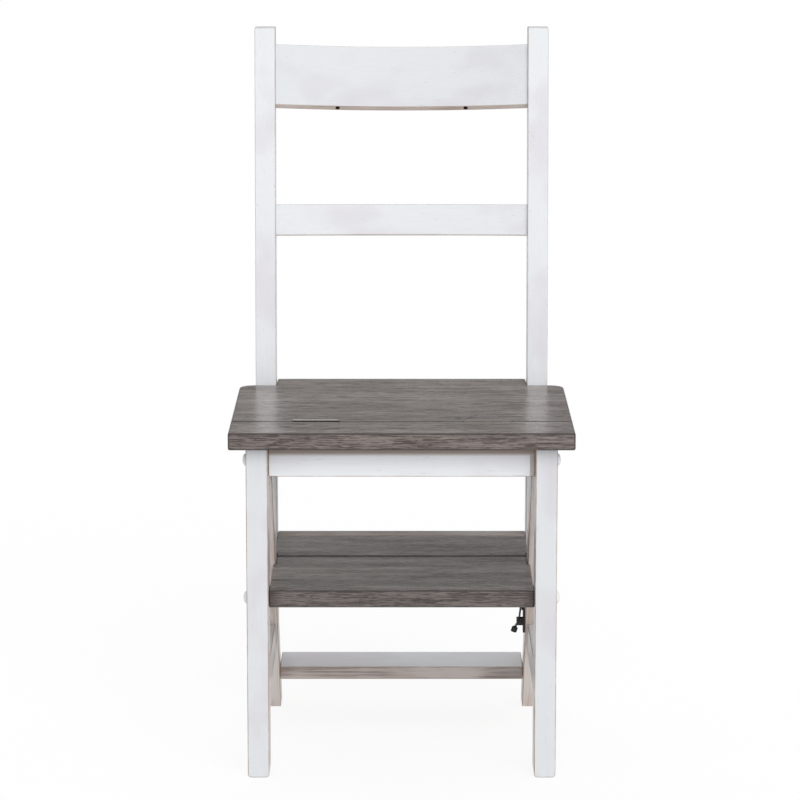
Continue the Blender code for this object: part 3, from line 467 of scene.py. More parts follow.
class Finish(Wiring):
    """A material with a Principled shader, and short calls for the patterns that the finishes share."""

    def __init__(self, name: str) -> None:
        """Start a material with a plain shader.

        Args:
            name: The material's name.
        """
        self.material = bpy.data.materials.new(name)
        self.material.use_nodes = True
        super().__init__(self.material.node_tree)
        self.shader = self.tree.nodes["Principled BSDF"]

    def place(self, grain: Grain = Grain.ACROSS, shift: Vector = (0.0, 0.0, 0.0)) -> Socket:
        """The point on the piece, turned so that the grain runs along X, and shifted."""
        point = self.node("TexCoord", {})["Object"]
        return self.node("Mapping", {"Vector": point, "Rotation": grain.value, "Location": shift})["Vector"]

    def apart(self, place: Socket) -> bpy.types.NodeOutputs:
        """A place's three coordinates, by their letters."""
        return self.node("SeparateXYZ", {0: place})

    def noise(self, place: Socket, pattern: Pattern) -> Socket:
        """Smooth noise over a place.

        Args:
            place: The place.
            pattern: The noise's sizes.

        Returns:
            The noise, about a half on average.
        """
        scale = (pattern.along, pattern.across, pattern.across)
        inputs = {
            "Vector": self.node("VectorMath", {0: place, 1: scale}, operation="MULTIPLY")[0],
            "Scale": 1.0,
            "Detail": pattern.detail,
            "Roughness": pattern.rough,
            "Distortion": pattern.bend,
        }
        return self.node("TexNoise", inputs)["Fac"]

    def noises(self, place: Socket, *patterns: Pattern) -> list[Socket]:
        """A noise for each pattern."""
        return [self.noise(place, pattern) for pattern in patterns]

    def swing(self, value: Socket, size: float) -> Socket:
        """A value's distance from a half, times a size."""
        return self.math("MULTIPLY", self.math("SUBTRACT", value, 0.5), size)

    def total(self, *terms: tuple[Socket, float]) -> Socket:
        """The sum of values times their weights.

        Args:
            terms: Values with their weights.

        Returns:
            The sum.
        """
        total, *others = [self.math("MULTIPLY", value, weight) for value, weight in terms]
        for other in others:
            total = self.math("ADD", total, other)
        return total

    def span(self, value: Socket, low: float, high: float, least: float = 0.0, most: float = 1.0) -> Socket:
        """A value carried from one span to another, with a soft start and end."""
        ends = {"From Min": low, "From Max": high, "To Min": least, "To Max": most}
        return self.node("MapRange", {"Value": value, **ends}, interpolation_type="SMOOTHSTEP")["Result"]

    def blend(self, share: object, first: object, second: object) -> Socket:
        """Two colours mixed by a share."""
        return self.node("Mix", {"Factor": share, 6: first, 7: second}, data_type="RGBA")[2]

    def scaled(self, colour: Socket, factor: Socket) -> Socket:
        """A colour made darker or lighter by a factor."""
        return self.node("VectorMath", {0: colour, "Scale": factor}, operation="SCALE")[0]

    def value(self, label: str) -> Socket:
        """A named value at the piece's points."""
        return self.node("Attribute", {}, attribute_name=label)["Fac"]

    def arris(self, radius: float) -> Socket:
        """One on the sharp edges of a piece and nothing on its faces, from how its normal bends nearby.

        Args:
            radius: How far from an edge the bend reaches.

        Returns:
            The share.
        """
        bent = self.node("Bevel", {"Radius": radius}, samples=BEVEL_SAMPLES)["Normal"]
        straight = self.node("NewGeometry", {})["Normal"]
        product = self.node("VectorMath", {0: bent, 1: straight}, operation="DOT_PRODUCT")["Value"]
        return self.span(product, BENT_FROM, BENT_FULL)

    def bump(self, height: Socket, strength: float, distance: float) -> None:
        """Let a height stand proud of the surface."""
        made = self.node("Bump", {"Strength": strength, "Distance": distance, "Height": height})
        self.feed(self.shader.inputs["Normal"], made["Normal"])

    def finish(self, colour: object, roughness: object, metallic: float = 0.0) -> Material:
        """Give the shader its colour and roughness and hand the material over.

        Args:
            colour: The colour.
            roughness: The roughness.
            metallic: One for uncoated metal.

        Returns:
            The material.
        """
        for label, value in (("Base Color", colour), ("Roughness", roughness), ("Metallic", metallic)):
            self.feed(self.shader.inputs[label], value)
        return self.material


@dataclass(frozen=True)
class WornPaint:
    """Satin white paint brushed along the grain, thinned in places, and rubbed to tan wood on its arrises. It
    also carries painted shade: a tan on faces that turn inwards or down, the seat's and a leg's shadow on the
    front apron, and lighter or darker copies of the paint on some timbers.

    A span says where a value starts to count and where it counts in full, and then how much at either end.
    """

    name: str
    grain: Grain
    seed: float
    paint: Colour = (0.79, 0.81, 0.835)
    lilac: Colour = (0.74, 0.725, 0.765)
    pore: Colour = (0.50, 0.53, 0.585)
    thin: Colour = (0.80, 0.705, 0.645)
    streak: Colour = (0.57, 0.465, 0.395)
    rubbed: Colour = (0.42, 0.295, 0.20)
    # The painted shade's colour: the seat's shadow along the apron's top and the right leg's shadow on the
    # apron's end.
    soil: Colour = (0.30, 0.220, 0.172)
    # Near-black painted shade in grooves, gaps and hole walls.
    soot: Colour = (0.020, 0.015, 0.012)
    # A factor on the paint's colours: above one a lighter copy that makes up for shade, as on the apron and
    # the low stretcher; below one a darker copy as painted shade, as on the legs and the crest.
    strength: float = 1.0
    rub: float = 0.90
    # Spans of height and of X that carry that painted shade, and how strongly.
    soiled_height: Span = NOWHERE
    soiled_end: Span = NOWHERE
    handled_end: Span = NOWHERE
    height_soil: float = 0.90
    end_soil: float = 0.60
    handling: float = 0.20
    drift: Vector = (1.0, 0.37, 0.71)
    patches: Pattern = Pattern(9, 14, 2.0)
    strokes: Pattern = Pattern(9, 620, 4.0, 0.6)
    pores: Pattern = Pattern(48, 760, 2.0, 0.5)
    rubs: Pattern = Pattern(38, 70, 5.0, 0.65)
    fibres: Pattern = Pattern(12, 330, 5.0, 0.62, 0.3)
    lilac_span: Span = (0.44, 0.68)
    stroke_span: Span = (0.30, 0.75, 0.0, 0.09)
    pore_span: Span = (0.67, 0.75, 0.0, 0.60)
    streak_span: Span = (0.42, 0.72)
    uneven_span: Span = (0.25, 0.75, 0.70, 1.0)
    rub_span: Span = (0.71, 0.93)
    rough_span: Span = (0.3, 1.3, 0.36, 0.50)
    streak_swing: float = 0.7
    wear_weight: float = 0.62
    rub_weight: float = 0.80
    patch_height: float = 0.6
    relief: tuple[float, float] = (0.10, 0.0004)

    def material(self) -> Material:
        """Build the paint.

        Returns:
            The material. It has patches about 10 cm across, brush strokes about a millimetre wide, pores 2 cm
            long, and rubbed stretches of 1 to 4 cm along the arrises.
        """
        made = Finish(self.name)
        place = made.place(self.grain, times(self.seed, self.drift))
        patterns = (self.patches, self.strokes, self.pores, self.rubs, self.fibres)
        patches, strokes, pores, rubs, fibres = made.noises(place, *patterns)

        # A lighter or darker copy of the paint, as painted light or shade.
        paint, lilac = times(self.strength, self.paint), times(self.strength, self.lilac)
        colour = made.blend(made.span(patches, *self.lilac_span), paint, lilac)
        colour = made.blend(made.span(strokes, *self.stroke_span), colour, self.pore)
        colour = made.blend(made.span(pores, *self.pore_span), colour, self.pore)

        apart = made.apart(made.place())
        streaks = made.math("ADD", fibres, made.swing(patches, self.streak_swing))
        streaks = made.math("ADD", streaks, made.span(apart["X"], *self.handled_end, 0.0, self.handling))
        # The tan on faces that turn inwards or down is painted shade as well as thinned paint.
        thin = made.blend(made.span(streaks, *self.streak_span), self.thin, self.streak)
        bare = made.math("MULTIPLY", made.value("bare"), made.span(patches, *self.uneven_span))
        colour = made.blend(bare, colour, thin)
        # Painted shade: a brown strip under the seat's overhang, and a leg's painted shadow near one end.
        soiled = made.span(apart["Z"], *self.soiled_height, 0.0, self.height_soil)
        soiled = made.math("MAXIMUM", soiled, made.span(apart["X"], *self.soiled_end, 0.0, self.end_soil))
        colour = made.blend(soiled, colour, self.soil)

        reach = made.total((made.value("wear"), self.wear_weight), (rubs, self.rub_weight))
        rubbed = made.span(reach, *self.rub_span, 0.0, self.rub)
        colour = made.blend(rubbed, colour, self.rubbed)
        # Painted shade in the grooves and holes.
        colour = made.blend(made.value("groove"), colour, self.soot)

        rough = made.span(made.math("ADD", strokes, rubbed), *self.rough_span)
        height = made.math("ADD", strokes, made.math("MULTIPLY", patches, self.patch_height))
        made.bump(made.math("SUBTRACT", height, rubbed), *self.relief)
        return made.finish(colour, made.math("MAXIMUM", rough, made.value("groove")))


@dataclass(frozen=True)
class StainedWood:
    """Grey-brown boards under a stain: fine straight grain on the faces, wavy strokes on the edges, dark
    arrises, and painted shade where asked.

    A span says where a value starts to count and where it counts in full, and then how much at either end.
    """

    name: str
    seed: float
    heart: tuple[float, float]
    dark: Colour = (0.075, 0.060, 0.052)
    middle: Colour = (0.225, 0.198, 0.184)
    pale: Colour = (0.350, 0.320, 0.302)
    fleck: Colour = (0.50, 0.48, 0.46)
    edge_dark: Colour = (0.045, 0.033, 0.030)
    edge_base: Colour = (0.160, 0.130, 0.120)
    edge_pale: Colour = (0.232, 0.197, 0.184)
    arris: Colour = (0.054, 0.043, 0.041)
    # Near-black painted shade in the gaps between boards and in the hinge pockets.
    soot: Colour = (0.014, 0.012, 0.012)
    # A factor on the face colours; below one it gives a darker copy of the stain as painted shade, as on the
    # steps under the seat.
    strength: float = 1.0
    edge_strength: float = 1.0
    mottle: float = 0.07
    # Where painted shade darkens the edges towards both ends, and how strongly.
    dark_ends: Span = NOWHERE
    end_stain: float = 0.62
    ring_spacing: float = 0.0042
    ring_bends: Pattern = Pattern(3.2, 16, 3.0)
    ring_ripples: Pattern = Pattern(16, 80, 3.0, 0.6)
    bend_size: float = 0.060
    ripple_size: float = 0.006
    bands: Pattern = Pattern(1.6, 24, 3.0)
    strands: Pattern = Pattern(9, 95, 4.0, 0.62, 0.3)
    dashes: Pattern = Pattern(48, 170, 3.0, 0.6, 0.5)
    fibres: Pattern = Pattern(14, 320, 6.0, 0.70, 0.4)
    pores: Pattern = Pattern(40, 900, 3.0, 0.6)
    flecks: Pattern = Pattern(75, 300, 2.0, 0.5)
    strokes: Pattern = Pattern(44, 760, 2.5, 0.55, 1.1)
    clouds: Pattern = Pattern(10, 110, 2.0, 0.5)
    weather: Pattern = Pattern(5, 26, 3.0, 0.5)
    rubs: Pattern = Pattern(24, 60, 4.0, 0.6)
    tone_weights: tuple[float, ...] = (0.30, 0.24, 0.26, 0.26, 0.06)
    middle_span: Span = (0.42, 0.57)
    pale_span: Span = (0.53, 0.70)
    pore_span: Span = (0.62, 0.74, 0.0, 0.55)
    fleck_span: Span = (0.66, 0.74, 0.0, 0.50)
    cloud_swing: float = 0.26
    ring_swing: float = 0.05
    edge_span: Span = (0.40, 0.66)
    stroke_span: Span = (0.49, 0.575, 0.0, 0.90)
    weather_span: Span = (0.36, 0.64)
    drawn_span: Span = (0.34, 0.56, 0.55, 1.0)
    arris_span: Span = (0.12, 0.52, 0.0, 0.95)
    groove_span: Span = (0.05, 0.5)
    rough_span: Span = (0.5, 1.0, 0.18, 0.38)
    pore_roughness: float = 0.5
    pore_depth: float = 0.7
    relief: tuple[float, float] = (0.16, 0.0004)

    def rings(self, made: Finish, place: Socket) -> Socket:
        """Year rings round an axis along X below the board.

        The value is the sine, brought between nothing and one, of a full turn for each ring spacing in the
        distance from that axis. Slow noise and a finer one along the board are added to the distance.

        Args:
            made: The finish that the rings are for.
            place: The point on the board.

        Returns:
            The rings.
        """
        apart = made.apart(place)
        parts = [made.math("SUBTRACT", apart[letter], middle) for letter, middle in zip("YZ", self.heart)]
        distance = made.math("SQRT", made.math("ADD", *(made.math("POWER", part, 2.0) for part in parts)))
        bends, ripples = made.noises(place, self.ring_bends, self.ring_ripples)
        bent = made.math("ADD", distance, made.total((bends, self.bend_size), (ripples, self.ripple_size)))
        wave = made.math("SINE", made.math("MULTIPLY", bent, 2 * math.pi / self.ring_spacing))
        return made.math("MULTIPLY", made.math("ADD", wave, 1.0), 0.5)

    def face(self, made: Finish, tones: Sequence[Socket], pores: Socket, flecks: Socket) -> Socket:
        """The faces' colour: the tones run from dark to pale, under dark pores and pale flecks.

        Args:
            made: The finish.
            tones: What the tone is the weighed sum of.
            pores: The pores' noise.
            flecks: The flecks' noise.

        Returns:
            The colour.
        """
        tone = made.total(*zip(tones, self.tone_weights))
        colours = (self.dark, self.middle, self.pale, self.fleck)
        dark, middle, pale, fleck = (times(self.strength, colour) for colour in colours)
        colour = made.blend(made.span(tone, *self.middle_span), dark, middle)
        colour = made.blend(made.span(tone, *self.pale_span), colour, pale)
        colour = made.blend(made.span(pores, *self.pore_span), colour, dark)
        return made.blend(made.span(flecks, *self.fleck_span), colour, fleck)

    def edge(self, made: Finish, place: Socket, fibres: Socket, rings: Socket) -> Socket:
        """The edges' colour: dark wavy strokes on a paler base, with painted shade towards both ends where
        asked.

        Args:
            made: The finish.
            place: The point on the board.
            fibres: The fibres' noise.
            rings: The year rings.

        Returns:
            The colour.
        """
        strokes, clouds = made.noises(place, self.strokes, self.clouds)
        figured = made.math("ADD", strokes, made.swing(clouds, self.cloud_swing))
        figured = made.math("ADD", figured, made.swing(rings, self.ring_swing))
        colours = (self.edge_base, self.edge_pale, self.edge_dark)
        base, pale, dark = (times(self.edge_strength, colour) for colour in colours)
        colour = made.blend(made.span(fibres, *self.edge_span), base, pale)
        colour = made.blend(made.span(figured, *self.stroke_span), colour, dark)
        # Painted shade on the edges towards both ends of a step.
        aside = made.math("ABSOLUTE", made.apart(made.place())["X"])
        return made.blend(made.span(aside, *self.dark_ends, 0.0, self.end_stain), colour, self.edge_dark)

    def material(self) -> Material:
        """Build the stain.

        Returns:
            The material. Its faces have fibres 1 to 3 mm wide and dashes 1 to 3 cm long. Its edges have dark
            wavy strokes about 2 cm long.
        """
        made = Finish(self.name)
        place = made.place(shift=(self.seed, 0.0, 0.0))
        rings = self.rings(made, place)
        patterns = (self.fibres, self.bands, self.strands, self.dashes, self.pores, self.flecks)
        fibres, bands, strands, dashes, pores, flecks = made.noises(place, *patterns)
        weather, rubs = made.noises(place, self.weather, self.rubs)

        colour = self.face(made, (fibres, bands, strands, dashes, rings), pores, flecks)
        mottled = made.span(weather, *self.weather_span, 1 - self.mottle, 1 + self.mottle)
        edge = self.edge(made, place, fibres, rings)
        colour = made.blend(made.value("bare"), made.scaled(colour, mottled), edge)

        drawn = made.math("MULTIPLY", made.value("wear"), made.span(rubs, *self.drawn_span))
        colour = made.blend(made.span(drawn, *self.arris_span), colour, self.arris)
        # Painted shade in the gaps and pockets.
        colour = made.blend(made.span(made.value("groove"), *self.groove_span), colour, self.soot)

        rough = made.math("ADD", fibres, made.math("MULTIPLY", pores, self.pore_roughness))
        rough = made.math("MAXIMUM", made.span(rough, *self.rough_span), made.value("groove"))
        height = made.math("SUBTRACT", fibres, made.math("MULTIPLY", pores, self.pore_depth))
        made.bump(height, *self.relief)
        return made.finish(colour, rough)


@dataclass(frozen=True)
class BlackEnamel:
    """Black enamel on the latch, a little mottled, worn to dark grey metal on its edges."""

    name: str = "black_enamel"
    black: Colour = (0.012, 0.012, 0.013)
    dusty: Colour = (0.030, 0.029, 0.028)
    worn: Colour = (0.16, 0.15, 0.145)
    mottle: Pattern = Pattern(420, 420, 4.0, 0.6)
    dust_span: Span = (0.4, 0.7)
    worn_span: Span = (0.46, 0.62)
    rough_span: Span = (0.3, 0.7, 0.32, 0.52)
    edge_reach: float = 0.0005
    relief: tuple[float, float] = (0.12, 0.0002)

    def material(self) -> Material:
        """Build the enamel.

        Returns:
            The material, with mottling 2 mm across.
        """
        made = Finish(self.name)
        mottle = made.noise(made.place(), self.mottle)
        colour = made.blend(made.span(mottle, *self.dust_span), self.black, self.dusty)
        worn = made.math("MULTIPLY", made.arris(self.edge_reach), made.span(mottle, *self.worn_span))
        made.bump(mottle, *self.relief)
        return made.finish(made.blend(worn, colour, self.worn), made.span(mottle, *self.rough_span))


@dataclass(frozen=True)
class BrushedSteel:
    """Plain steel brushed along the hinges, with dull spots and brighter edges, dark below a height with
    tarnish and painted shade.
    """

    name: str = "brushed_steel"
    bright: Colour = (0.78, 0.765, 0.74)
    dull: Colour = (0.60, 0.585, 0.56)
    edge: Colour = (0.82, 0.81, 0.79)
    # The dark colour below that height stands for tarnish and the painted shade of the seat's split.
    stained: Colour = (0.15, 0.136, 0.127)
    metallic: float = 1.0
    clean_above: float = 0.0
    fade: float = 0.00015
    spot_swing: float = 0.0008
    lines: Pattern = Pattern(60, 7000, 3.0, 0.6)
    spots: Pattern = Pattern(260, 260, 3.0)
    dull_span: Span = (0.45, 0.7)
    rough_span: Span = (0.7, 1.3, 0.22, 0.42)
    edge_reach: float = 0.0003
    relief: tuple[float, float] = (0.06, 0.0001)

    def material(self) -> Material:
        """Build the steel.

        Returns:
            The material, with brush lines a tenth of a millimetre wide.
        """
        made = Finish(self.name)
        place = made.place()
        lines, spots = made.noises(place, self.lines, self.spots)
        colour = made.blend(made.span(spots, *self.dull_span), self.bright, self.dull)
        colour = made.blend(made.arris(self.edge_reach), colour, self.edge)
        height = made.math("ADD", made.apart(place)["Z"], made.swing(spots, self.spot_swing))
        clean = made.span(height, self.clean_above - self.fade, self.clean_above + self.fade)
        made.bump(lines, *self.relief)
        rough = made.span(made.math("ADD", lines, spots), *self.rough_span)
        return made.finish(made.blend(clean, self.stained, colour), rough, self.metallic)


@dataclass(frozen=True)
class MouldedCap:
    """White moulded plastic with a faint orange-peel surface and greyer rims."""

    name: str = "moulded_cap"
    white: Colour = (0.88, 0.88, 0.885)
    cream: Colour = (0.86, 0.855, 0.845)
    rim: Colour = (0.66, 0.655, 0.65)
    peel: Pattern = Pattern(900, 900, 2.0)
    tint: Pattern = Pattern(90, 90, 2.0)
    cream_span: Span = (0.4, 0.65)
    rough_span: Span = (0.35, 0.7, 0.26, 0.38)
    rim_share: float = 0.6
    edge_reach: float = 0.0006
    relief: tuple[float, float] = (0.05, 0.0002)

    def material(self) -> Material:
        """Build the plastic.

        Returns:
            The material, with a peel 1 mm across.
        """
        made = Finish(self.name)
        peel, tint = made.noises(made.place(), self.peel, self.tint)
        colour = made.blend(made.span(tint, *self.cream_span), self.white, self.cream)
        rim = made.math("MULTIPLY", made.arris(self.edge_reach), self.rim_share)
        made.bump(peel, *self.relief)
        return made.finish(made.blend(rim, colour, self.rim), made.span(tint, *self.rough_span))


@dataclass(frozen=True)
class ChairLines:
    """The lines of a side frame that its timbers share, as depths behind the seat's front edge."""

    seat_top: float = 0.468
    seat_thickness: float = 0.023
    split: float = 0.085
    seam_floor: float = 0.442
    seam_gap: float = 0.0006
    stringer_width: float = 0.040
    leg_back: float = 0.080
    post_front_at_seat: float = 0.370
    post_at_seat: float = 0.044
    post_at_top: float = 0.034
    post_at_floor: float = 0.036
    post_heel: float = 0.001
    post_rise: float = 0.494
    lean: float = 0.09
    knee: float = 0.06
    origin: float = 0.0

    @property
    def seam_run(self) -> float:
        """How far the seam goes back between the seat's top and the floor."""
        return self.seam_floor - self.split

    @property
    def reach(self) -> float:
        """A stringer's width measured along the floor."""
        return self.stringer_width * math.hypot(self.seam_run, self.seat_top) / self.seat_top

    @property
    def underside(self) -> float:
        """Height of the top of what stands under the seat."""
        return self.seat_top - self.seat_thickness - FIT_GAP

    @property
    def splay(self) -> float:
        """The slope that brings the post's back down to the seam's end on the floor.

        Returns:
            The slope.
        """
        fall = math.hypot(self.seat_top, self.knee) - self.knee
        run = self.seam_floor + self.post_heel - self.post_at_floor - self.post_front_at_seat
        return (2 * run + self.lean * (self.seat_top - fall)) / (self.seat_top + fall)

    @property
    def leaning(self) -> tuple[np.ndarray, np.ndarray]:
        """Unit vectors up along the leaning back, and backwards square to it."""
        tilt = math.atan(self.lean)
        return np.array([0, math.sin(tilt), math.cos(tilt)]), np.array([0, math.cos(tilt), -math.sin(tilt)])

    def seam(self, height: float) -> float:
        """World Y of the seam at a height, where the front stringers end."""
        return self.origin + self.seam_floor - self.seam_run * height / self.seat_top

    def ahead(self, height: float) -> float:
        """World Y of the front stringers' front faces."""
        return self.seam(height) - self.reach

    def behind(self, height: float) -> float:
        """World Y of the faces that lie on the seam from behind."""
        return self.seam(height) + self.seam_gap

    def beyond(self, height: float) -> float:
        """World Y of the rear stringers' back faces."""
        return self.seam(height) + self.reach

    def post_front(self, height: float) -> float:
        """World Y of the post's front face: a hyperbola that leans back above the seat and splays below it.

        Args:
            height: The height.

        Returns:
            The face's place.
        """
        rise = height - self.seat_top
        bend = math.hypot(rise, self.knee) - self.knee
        slope, sweep = (self.lean - self.splay) / 2, (self.lean + self.splay) / 2
        return self.origin + self.post_front_at_seat + slope * rise + sweep * bend

    def butt(self, height: float) -> float:
        """World Y of what butts on the post's front face."""
        return self.post_front(height) - FIT_GAP

    def post_back(self, height: float) -> float:
        """World Y of the post's back face: the post tapers from the seat to both ends.

        Args:
            height: The height.

        Returns:
            The face's place.
        """
        up = height > self.seat_top
        share = (height - self.seat_top) / self.post_rise if up else (self.seat_top - height) / self.seat_top
        end = self.post_at_top if up else self.post_at_floor
        return self.post_front(height) + self.post_at_seat + (end - self.post_at_seat) * share

    def crossing(self, gap: Callable[[float], float], high: float) -> float:
        """The height above the floor at which a gap is nothing, found by halving.

        Args:
            gap: The gap at a height.
            high: A height that lies above the crossing.

        Returns:
            The height.
        """
        low, below = 0.0, gap(0.0) > 0
        for _ in range(HALVINGS):
            middle = (low + high) / 2
            low, high = (middle, high) if (gap(middle) > 0) == below else (low, middle)
        return low


@dataclass
class Workshop:
    """What every sub-assembly needs: the chair's lines, and the calls that put a finished piece in place."""

    lines: ChairLines
    arris: float = 0.0016
    count: int = 0

    def fit(self, surface: Surface, label: str, node: str, slot: str, material: Material) -> Piece:
        """Make a surface into a piece that stands for a node of the frame and moves with its body.

        Args:
            surface: The shape, in its place.
            label: The word that its name adds to the node's.
            node: The node that it stands for.
            slot: The finish's slot in the record; not used.
            material: Its material.

        Returns:
            The piece.
        """
        piece = bpy.data.objects.new(f"{node}_{label}", surface.mesh(f"{node}_{label}"))
        bpy.context.scene.collection.objects.link(piece)
        piece.data.materials.append(material)
        even = piece.modifiers.new("even shading", "WEIGHTED_NORMAL")
        even.keep_sharp = True
        even.weight = SHADING_WEIGHT
        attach(piece, frame["nodes"][node]["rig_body"])
        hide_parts(node)
        self.count += 1
        log.info("%s stands for %s", piece.name, node)
        return piece

    def painted(self, surface: Surface, node: str, grain: Grain, **changes: object) -> Piece:
        """Fit a painted timber, with the fields of the paint that differ on it."""
        paint = WornPaint(f"paint_{node}", grain, seed(node), **changes)
        return self.fit(surface, "wood", node, "white_paint", paint.material())

    def timber(
        self,
        node: str,
        outline: Outline,
        bare: Bare,
        grain: Grain = Grain.ACROSS,
        lie: Lie = Lie.ACROSS,
        inset: float = 0.0,
        near: CloseEdges = CloseEdges(),
        **changes: object,
    ) -> None:
        """A straight painted timber, as long as its node.

        Args:
            node: The timber's node.
            outline: Its corners, square to its axis.
            bare: Where its paint is thinned and where painted shade lies.
            grain: Which way its grain runs.
            lie: Its axis.
            inset: How much of each end a post hides.
            near: Its edges that lie close to a neighbour.
            changes: Fields of the paint that differ on it.
        """
        low, high = (corner[lie.axis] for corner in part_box(node))
        shape = slab(outline, low + inset, high - inset, lie, self.arris, bare, near)
        self.painted(shape, node, grain, **changes)

    def dress(self, node: str, material: Material) -> None:
        """Give a node of the frame, whose own shape stays, its finish.

        Args:
            node: The node.
            material: Its material.
        """
        mesh = frame["nodes"][node].data
        mesh.materials.clear()
        mesh.materials.append(material)
        log.info("%s keeps its shape", node)

    def read(self, mesh: Mesh) -> tuple[np.ndarray, dict[str, np.ndarray]]:
        """A mesh's points and the values at them.

        Args:
            mesh: The mesh.

        Returns:
            Its points, and an array for each value's name.
        """
        points = np.empty((len(mesh.vertices), 3), np.float32)
        mesh.vertices.foreach_get("co", points.ravel())
        values = {label: np.empty(len(points), np.float32) for label in VALUES}
        for label, held in values.items():
            mesh.attributes[label].data.foreach_get("value", held)
        return points, values

    def cut(self, piece: Piece, cutter: Surface) -> None:
        """Take a cutter's space out of a piece's mesh.

        Args:
            piece: The piece.
            cutter: A closed surface.
        """
        waste = bpy.data.objects.new("waste", cutter.mesh("waste"))
        bpy.context.scene.collection.objects.link(waste)
        cut = piece.modifiers.new("cut", "BOOLEAN")
        cut.operation, cut.solver, cut.object = "DIFFERENCE", "EXACT", waste
        piece.modifiers.move(len(piece.modifiers) - 1, 0)
        bpy.context.view_layer.update()
        carved = bpy.data.meshes.new_from_object(piece.evaluated_get(bpy.context.evaluated_depsgraph_get()))
        piece.modifiers.remove(cut)
        bpy.data.objects.remove(waste, do_unlink=True)
        piece.data = carved

    def carve(self, piece: Piece, cutters: Sequence[Surface]) -> None:
        """Cut pockets out of a piece for good.

        A new point on the piece's skin takes the values of the old point that is nearest in its section,
        which counts a distance along X for next to nothing.

        Args:
            piece: The piece.
            cutters: Closed surfaces that take the waste away.
        """
        uncut, _ = self.read(piece.data)
        for cutter in cutters:
            old, held = self.read(piece.data)
            self.cut(piece, cutter)
            points, values = self.read(piece.data)
            fresh = ~self.among(points, np.concatenate([old, cutter.points.astype(np.float32)]))
            gaps = points[fresh][:, None] - old[None]
            gaps[..., 0] *= ALONG_SHARE
            nearest = (gaps**2).sum(-1).argmin(1)
            for label, found in values.items():
                found[fresh] = held[label][nearest]
                piece.data.attributes[label].data.foreach_set("value", found)
        cutting = np.concatenate([cutter.points for cutter in cutters]).astype(np.float32)
        self.line(piece.data, uncut, cutting)

    def among(self, points: np.ndarray, known: np.ndarray) -> np.ndarray:
        """Which points are at the place of a known one."""
        return ((points[:, None] - known[None]) ** 2).sum(-1).min(1) < SAME_PLACE**2

    def line(self, mesh: Mesh, uncut: np.ndarray, cutting: np.ndarray) -> None:
        """Make the walls of the pockets dark up to their sharp rims, as painted shade.

        A face that has a point of a cutter and none of the uncut piece is a pocket's wall, and its groove
        value is one at every corner. Every other corner takes the value of its point.

        Args:
            mesh: The carved mesh.
            uncut: The piece's points before the first cut.
            cutting: The cutters' points.
        """
        mesh.set_sharp_from_angle(angle=SHARP_ABOVE)
        points, values = self.read(mesh)
        corner_points = np.empty(len(mesh.loops), np.int32)
        mesh.loops.foreach_get("vertex_index", corner_points)
        sizes = np.empty(len(mesh.polygons), np.int32)
        mesh.polygons.foreach_get("loop_total", sizes)
        owner = np.repeat(np.arange(len(sizes)), sizes)
        walls, skin = np.zeros(len(sizes), bool), np.zeros(len(sizes), bool)
        np.logical_or.at(walls, owner, self.among(points, cutting)[corner_points])
        np.logical_or.at(skin, owner, self.among(points, uncut)[corner_points])
        groove = np.where((walls & ~skin)[owner], 1.0, values["groove"][corner_points])
        mesh.attributes.remove(mesh.attributes["groove"])
        mesh.attributes.new("groove", "FLOAT", "CORNER").data.foreach_set("value", groove.astype(np.float32))


